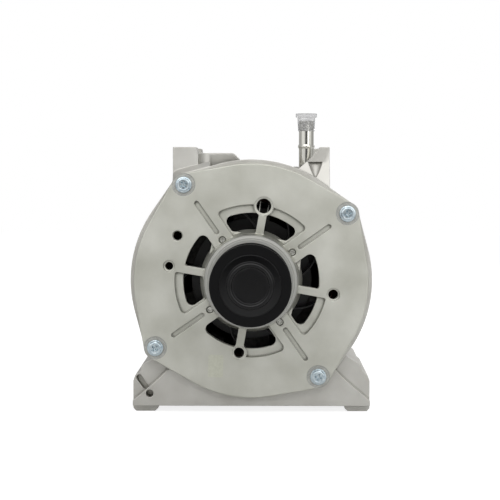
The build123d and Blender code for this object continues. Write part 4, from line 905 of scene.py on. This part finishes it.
# Heat sinks: two aluminium horseshoes stamped from plate, one for each pole of the rectifier.
# Rolling leaves faint streaks along the plate.
ROLLING_STREAK = 0.8 * MM
stamped_aluminium = finish("stamped_aluminium_plate", Metallic=1.0)
stamp_place = add_node(stamped_aluminium, "ShaderNodeTexCoord", "Object")
rolled = add_node(
    stamped_aluminium, "ShaderNodeMapping", Vector=stamp_place, Scale=(1, 1, 0.05),
)
streaks = add_node(
    stamped_aluminium, "ShaderNodeTexNoise", Vector=rolled, Scale=1 / ROLLING_STREAK, Detail=3.0,
)
coat(
    stamped_aluminium,
    Base_Color=add_node(
        stamped_aluminium, "ShaderNodeValToRGB", stops=((0.3, "BEBEBA"), (0.7, "D6D6D2")),
        Fac=streaks,
    ),
    Roughness=add_node(
        stamped_aluminium, "ShaderNodeMapRange", Value=streaks, To_Min=0.28, To_Max=0.45,
    ),
)
for polarity in ("negative", "positive"):
    node = f"{polarity}_heat_sink"
    dressed(
        node, f"{node}_plate", stamped_aluminium, "stator_body", "machined_aluminium", round_mm=0.3,
    )

# Diodes: tinned steel cans, pressed into the heat sinks by their knurled skirts. A sealed dome
# on each can carries its one lead.
TIN_PATCH = 2 * MM
KNURL_COUNT = 40
KNURL_DEPTH = 0.25 * MM
tinned = clouded(
    "tinned_steel", TIN_PATCH, detail=2.0, stops=((0.3, "B2B2AE"), (0.7, "D0D0CC")),
    roughness=(0.2, 0.4), Metallic=1.0,
)
for polarity, turn in (("negative", BACKWARD), ("positive", FORWARD)):
    boxes = solids(f"{polarity}_diodes")
    low, high = boxes[0]
    can_r = (high.x - low.x) / 2
    height = high.y - low.y
    can = drawn_out(
        "diode_can", 2 * KNURL_COUNT,
        (can_r, 0), (can_r, 0.42 * height), (0.9 * can_r, 0.47 * height),
    )
    for vertex in list(can.data.vertices)[::2]:
        if vertex.co.z < 0.45 * height:
            vertex.co.xy *= 1 - KNURL_DEPTH / can_r
    dome = drawn_out(
        "dome", SMALL_SIDES,
        (0.86 * can_r, 0.4 * height), (0.86 * can_r, 0.55 * height), (0.7 * can_r, 0.64 * height),
        (0.3 * can_r, 0.7 * height), (0.14 * can_r, 0.72 * height), (0.11 * can_r, 0.98 * height),
        (0.08 * can_r, height),
    )
    soften(can, 0.05)
    soften(dome, 0.1)
    seats = [middle_of(box, box[0].y if polarity == "negative" else box[1].y) for box in boxes]
    diode = joined([can, dome], "diode")
    diodes = set_out(diode, f"{polarity}_diode_set", seats, turn, [0] * len(seats))
    wear(diodes, tinned, "stator_body", "diode_silver", f"{polarity}_diodes")

# Terminal board: black polyamide moulded over the leads that join the diodes to the phase
# wires. It lies over the heat sinks.
dressed(
    "terminal_board", "terminal_board_moulding", moulded_black,
    "stator_body", "inner_black_plastic", round_mm=0.3,
)

# Output stud: a copper-plated steel bolt with a hexagon foot and a rolled thread up to a
# rounded tip. The battery cable goes on it.
STUD_R = 4 * MM
STUD_SIDES = 40
STUD_THREAD_PITCH = 1.25 * MM
STUD_THREAD_DEPTH = 0.5 * MM
STUD_RUN_OUT = 1.5 * MM
STUD_TIP = 0.8 * MM
STUD_FOOT_R = 7 * MM
STUD_FOOT_HEIGHT = 4 * MM
stud_low, stud_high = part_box("output_stud")
stud_place = middle_of((stud_low, stud_high), stud_low.y)
stud_length = stud_high.y - stud_low.y
thread_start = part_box("stud_insulator")[0].y - stud_low.y
stud = drawn_out(
    "stud", STUD_SIDES, (STUD_R, 0), (STUD_R, thread_start),
    *thread(
        STUD_R, STUD_THREAD_DEPTH, STUD_THREAD_PITCH,
        thread_start + THREAD_RUN_IN, stud_length - STUD_RUN_OUT,
    ),
    (0.92 * STUD_R, stud_length - STUD_TIP), (0.7 * STUD_R, stud_length),
)
foot = drawn_out("foot", HEXAGON_SIDES, (STUD_FOOT_R, 0), (STUD_FOOT_R, STUD_FOOT_HEIGHT))
soften(stud, 0.1)
soften(foot, 0.3)
output_stud = joined([stud, foot], "output_stud_threaded")
output_stud.data.transform(Matrix.Translation(stud_place) @ BACKWARD)
copper_plate = turned("copper_plated_steel", "C08462", "A86E4F", roughness=0.25, pitch_mm=0.4)
wear(output_stud, copper_plate, "stator_body", "copper", "output_stud")

# Stud insulator: a bush moulded in black polyamide, which keeps the live stud off the cover
# that it comes through.
dressed(
    "stud_insulator", "stud_insulator_moulding", moulded_black,
    "stator_body", "inner_black_plastic", round_mm=0.3,
)

# Output nut: a hexagon nut in blue zinc-plated steel, chamfered on both faces. It clamps the
# cable's eye on the stud.
NUT_HALF_FLATS = 6.5 * MM
NUT_CLEARANCE = 0.15 * MM
NUT_OVERCUT = 1 * MM
nut_low, nut_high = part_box("output_nut")
nut_r = NUT_HALF_FLATS / cos(pi / 6)
nut_height = nut_high.y - nut_low.y
nut = drawn_out("nut", HEXAGON_SIDES, (nut_r, 0), (nut_r, nut_height))
nut_crown = drawn_out(
    "crown", SCREW_SIDES, (0.88 * nut_r, 0), (1.02 * nut_r, 0.14 * nut_height),
    (1.02 * nut_r, 0.86 * nut_height), (0.88 * nut_r, nut_height),
)
combine(nut, "INTERSECT", nut_crown)
bore_r = STUD_R + NUT_CLEARANCE
bore = drawn_out(
    "bore", STUD_SIDES, (bore_r, -NUT_OVERCUT), (bore_r, nut_height + NUT_OVERCUT),
)
combine(nut, "DIFFERENCE", bore)
soften(nut, 0.2)
nut.name = "output_nut_hexagon"
nut_place = Matrix.Translation((stud_place.x, nut_low.y, stud_place.z))
nut.data.transform(nut_place @ BACKWARD @ Matrix.Rotation(pi / 6, 4, "Z"))
wear(nut, blue_zinc, "stator_body", "zinc_plated_steel", "output_nut")

# Brushes: two blocks of pressed carbon and copper powder that slide in the holder and wear
# round on the slip rings. They are dark and dull, with coppery grains drawn coarser than they
# are, so that they show.
CARBON_GRAIN = 0.4 * MM
CARBON_DEPTH = 0.03 * MM
carbon = clouded(
    "pressed_carbon", CARBON_GRAIN, detail=4.0, stops=((0.55, "232221"), (0.72, "4A3328")),
    depth=CARBON_DEPTH, Roughness=0.6,
)
for side in ("front", "rear"):
    brush = f"brush_{side}"
    dressed(brush, f"{brush}_block", carbon, brush, "brush_carbon", round_mm=0.3)

# Brush springs: coils of bright spring wire that press the brushes down. Their upper end stays
# on the roof of the holder.
SPRING_WIRE = 0.55 * MM
SPRING_TURNS = 7
SPRING_STEPS = 24
SPRING_WIRE_SIDES = 10
DRAW_MARK = 0.5 * MM
spring_wire = clouded(
    "spring_steel_wire", DRAW_MARK, detail=2.0, stops=((0.3, "8C8C8A"), (0.7, "ADADAB")),
    roughness=(0.2, 0.35), Metallic=1.0,
)
for side in ("front", "rear"):
    low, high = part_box(f"brush_spring_{side}")
    middle = (low + high) / 2
    coil_r = (high.x - low.x) / 2 - SPRING_WIRE / 2
    rise = high.z - low.z - SPRING_WIRE
    bpy.ops.object.select_all(action="DESELECT")
    bpy.ops.mesh.primitive_circle_add(
        vertices=SPRING_WIRE_SIDES, radius=SPRING_WIRE / 2, rotation=(pi / 2, 0, 0),
        location=(coil_r, 0, 0),
    )
    spring = bpy.context.active_object
    spring.name = f"brush_spring_{side}_coil"
    bpy.ops.object.transform_apply(location=True, rotation=True, scale=True)
    modify(
        spring, "SCREW", axis="Z", screw_offset=rise / SPRING_TURNS, iterations=SPRING_TURNS,
        steps=SPRING_STEPS, render_steps=SPRING_STEPS, use_smooth_shade=True,
    )
    edit(spring)
    bpy.ops.mesh.fill_holes(sides=SPRING_WIRE_SIDES)
    bpy.ops.mesh.select_all(action="SELECT")
    bpy.ops.mesh.normals_make_consistent(inside=False)
    bpy.ops.object.mode_set(mode="OBJECT")
    spring.data.transform(Matrix.Translation((middle.x, middle.y, low.z + SPRING_WIRE / 2)))
    wear(spring, spring_wire, "stator_body", "spring_steel", f"brush_spring_{side}")
    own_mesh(spring)

# Brush holder and regulator: two mouldings in black polyamide, fixed inside the rear cover.
# The regulator has cooling fins on its back.
dressed(
    "brush_holder", "brush_holder_moulding", moulded_black,
    "stator_body", "inner_black_plastic", round_mm=0.3,
)
dressed(
    "regulator", "regulator_moulding", moulded_black,
    "stator_body", "inner_black_plastic", round_mm=0.6,
)

# Plug socket: a shroud moulded in black polyamide round four tinned pins. It looks out through
# the rear cover.
dressed(
    "connector_socket", "connector_socket_moulding", moulded_black,
    "stator_body", "socket_plastic", round_mm=0.3,
)
dressed("connector_pins", "connector_pin_set", tinned, "stator_body", "copper", round_mm=0.15)

# Rear cover: a thin black moulding with vents, from a mould spark-eroded to a matt grain, which
# is drawn coarser than it is so that it shows. Three flanged screws in deep wells hold it.
SPARK_GRAIN = 0.8 * MM
SPARK_DEPTH = 0.06 * MM
COVER_FLOW = 20 * MM
cover_plastic = finish("grained_polyamide_cover")
cover_place = add_node(cover_plastic, "ShaderNodeTexCoord", "Object")
spark_grain = add_node(
    cover_plastic, "ShaderNodeTexNoise", Vector=cover_place, Scale=1 / SPARK_GRAIN, Detail=2.0,
)
cover_flow = add_node(
    cover_plastic, "ShaderNodeTexNoise", Vector=cover_place, Scale=1 / COVER_FLOW, Detail=3.0,
)
coat(
    cover_plastic,
    Base_Color=add_node(
        cover_plastic, "ShaderNodeValToRGB", stops=((0.3, "171717"), (0.7, "212120")),
        Fac=cover_flow,
    ),
    Roughness=add_node(
        cover_plastic, "ShaderNodeMapRange", Value=spark_grain, To_Min=0.45, To_Max=0.62,
    ),
    Normal=add_node(cover_plastic, "ShaderNodeBump", Height=spark_grain, Distance=SPARK_DEPTH),
)
dressed(
    "rear_cover", "rear_cover_moulding", cover_plastic, "stator_body", "cover_plastic", round_mm=0.4,
)
screw_set(
    "rear_cover_screws", "rear_cover_screw_set", BACKWARD,
    lambda box: box[1].y - HEAD_HEIGHT, first_spin=1.1,
)

# Coolant pipe: drawn steel tube, nickel plated and bright, with a bead rolled into it for the
# hose clip. Drawing leaves faint streaks along it.
TUBE_STREAK = 0.9 * MM
nickel = finish("nickel_plated_tube", Metallic=1.0)
pipe_place = add_node(nickel, "ShaderNodeTexCoord", "Object")
pipe_line = add_node(nickel, "ShaderNodeMapping", Vector=pipe_place, Scale=(1, 1, 0.03))
draw_marks = add_node(
    nickel, "ShaderNodeTexNoise", Vector=pipe_line, Scale=1 / TUBE_STREAK, Detail=3.0,
)
coat(
    nickel,
    Base_Color=add_node(
        nickel, "ShaderNodeValToRGB", stops=((0.3, "C8C7BE"), (0.7, "E6E5DE")), Fac=draw_marks,
    ),
    Roughness=add_node(nickel, "ShaderNodeMapRange", Value=draw_marks, To_Min=0.1, To_Max=0.2),
)
dressed("coolant_pipe", "coolant_pipe_tube", nickel, "stator_body", "nickel_plated_pipe", round_mm=0.2)

# Pipe cap: low density polyethylene, moulded soft and cloudy, pushed over the pipe's end to
# keep dirt out. It lets light through and blurs what is behind it.
HAZE_PATCH = 3 * MM
soft_polythene = clouded(
    "low_density_polyethylene", HAZE_PATCH, detail=3.0, stops=((0.3, "CDCDCE"), (0.7, "E0E0E0")),
    roughness=(0.16, 0.3), Transmission_Weight=0.8, IOR=1.15,
)
dressed("pipe_cap", "pipe_cap_moulding", soft_polythene, "pipe_cap", "clear_cap_plastic", round_mm=0.25)

# Studio floor: a large sheet of white paper. For the camera it is burnt out to white but for
# the object's shadow, and for all else it is plain paper.
FLOOR_SIZE = 6.0
GLOW_STRENGTH = 1.4
SHADOW_SHARE = 0.4
WHITE = (1, 1, 1, 1)
bpy.ops.object.select_all(action="DESELECT")
bpy.ops.mesh.primitive_plane_add(size=FLOOR_SIZE, location=(0, 0, 0))
floor = bpy.context.active_object
floor.name = "floor"
floor_paper = finish("white_floor_paper", Base_Color=srgb("F8F8F8"), Roughness=1.0)
floor_nodes = floor_paper.node_tree.nodes
shadowed = floor_nodes["Principled BSDF"].outputs["BSDF"]
glow = add_node(floor_paper, "ShaderNodeEmission", Color=WHITE, Strength=GLOW_STRENGTH)
seen = add_node(floor_paper, "ShaderNodeMixShader", Fac=SHADOW_SHARE, _1=glow, _2=shadowed)
by_camera = add_node(floor_paper, "ShaderNodeLightPath", "Is Camera Ray")
chosen = add_node(floor_paper, "ShaderNodeMixShader", Fac=by_camera, _1=shadowed, _2=seen)
connect(floor_paper, floor_nodes["Material Output"], {"Surface": chosen})
floor.data.materials.append(floor_paper)

# Studio surround: white for the camera and through clear plastic. Metal mirrors a surround
# that is darkest straight behind the camera and brightest just beside it.
SURROUND_GREY = "B2B2B2"
world = bpy.data.worlds.new("studio")
bpy.context.scene.world = world
world.use_nodes = True
direction = add_node(world, "ShaderNodeTexCoord", "Generated")
depth = add_node(world, "ShaderNodeSeparateXYZ", "Y", Vector=direction)
depth_share = add_node(world, "ShaderNodeMapRange", Value=depth, From_Min=-1.0, From_Max=1.0)
mirrored = add_node(
    world, "ShaderNodeValToRGB", Fac=depth_share,
    stops=(
        (0.0, "3A3A3A"), (0.015, "5C5C5C"), (0.05, "F2F2F2"), (0.3, "F9F9F9"),
        (0.5, SURROUND_GREY), (1.0, "BCBCBC"),
    ),
)
to_camera = add_node(world, "ShaderNodeLightPath", "Is Camera Ray")
through_plastic = add_node(world, "ShaderNodeLightPath", "Is Transmission Ray")
by_gloss = add_node(world, "ShaderNodeLightPath", "Is Glossy Ray")
bare = add_node(
    world, "ShaderNodeMath", settings={"operation": "MAXIMUM"}, _0=to_camera, _1=through_plastic,
)
lit = add_node(
    world, "ShaderNodeMixRGB", Fac=by_gloss, Color1=srgb(SURROUND_GREY), Color2=mirrored,
)
surround = add_node(world, "ShaderNodeMixRGB", Fac=bare, Color1=lit, Color2=WHITE)
connect(world, world.node_tree.nodes["Background"], {"Color": surround})


# Softboxes: four large soft lamps, two beside the camera, one above the plate and one behind.
# All of them face the middle of the shaft, and their light is weak enough to keep metal grey.
def softbox(name, place, size, power):
    """Area lamp at a place, with its width and height in metres and its power in watts."""
    data = bpy.data.lights.new(name, "AREA")
    data.shape = "RECTANGLE"
    data.size, data.size_y = size
    data.energy = power
    lamp = bpy.data.objects.new(name, data)
    bpy.context.scene.collection.objects.link(lamp)
    lamp.location = place
    middle = Vector((0, 0, SHAFT_Z))
    lamp.rotation_euler = (lamp.location - middle).to_track_quat("Z", "Y").to_euler()


softbox("left_softbox", (-0.55, -0.75, 0.6), (0.5, 0.5), 0.7)
softbox("right_softbox", (0.55, -0.85, 0.42), (0.4, 0.5), 1.0)
softbox("top_softbox", (-0.02, -0.58, 0.56), (0.7, 0.5), 1.7)
softbox("back_softbox", (0.3, 1.0, 0.9), (0.8, 0.8), 5)

bpy.context.scene.view_settings.view_transform = "Standard"
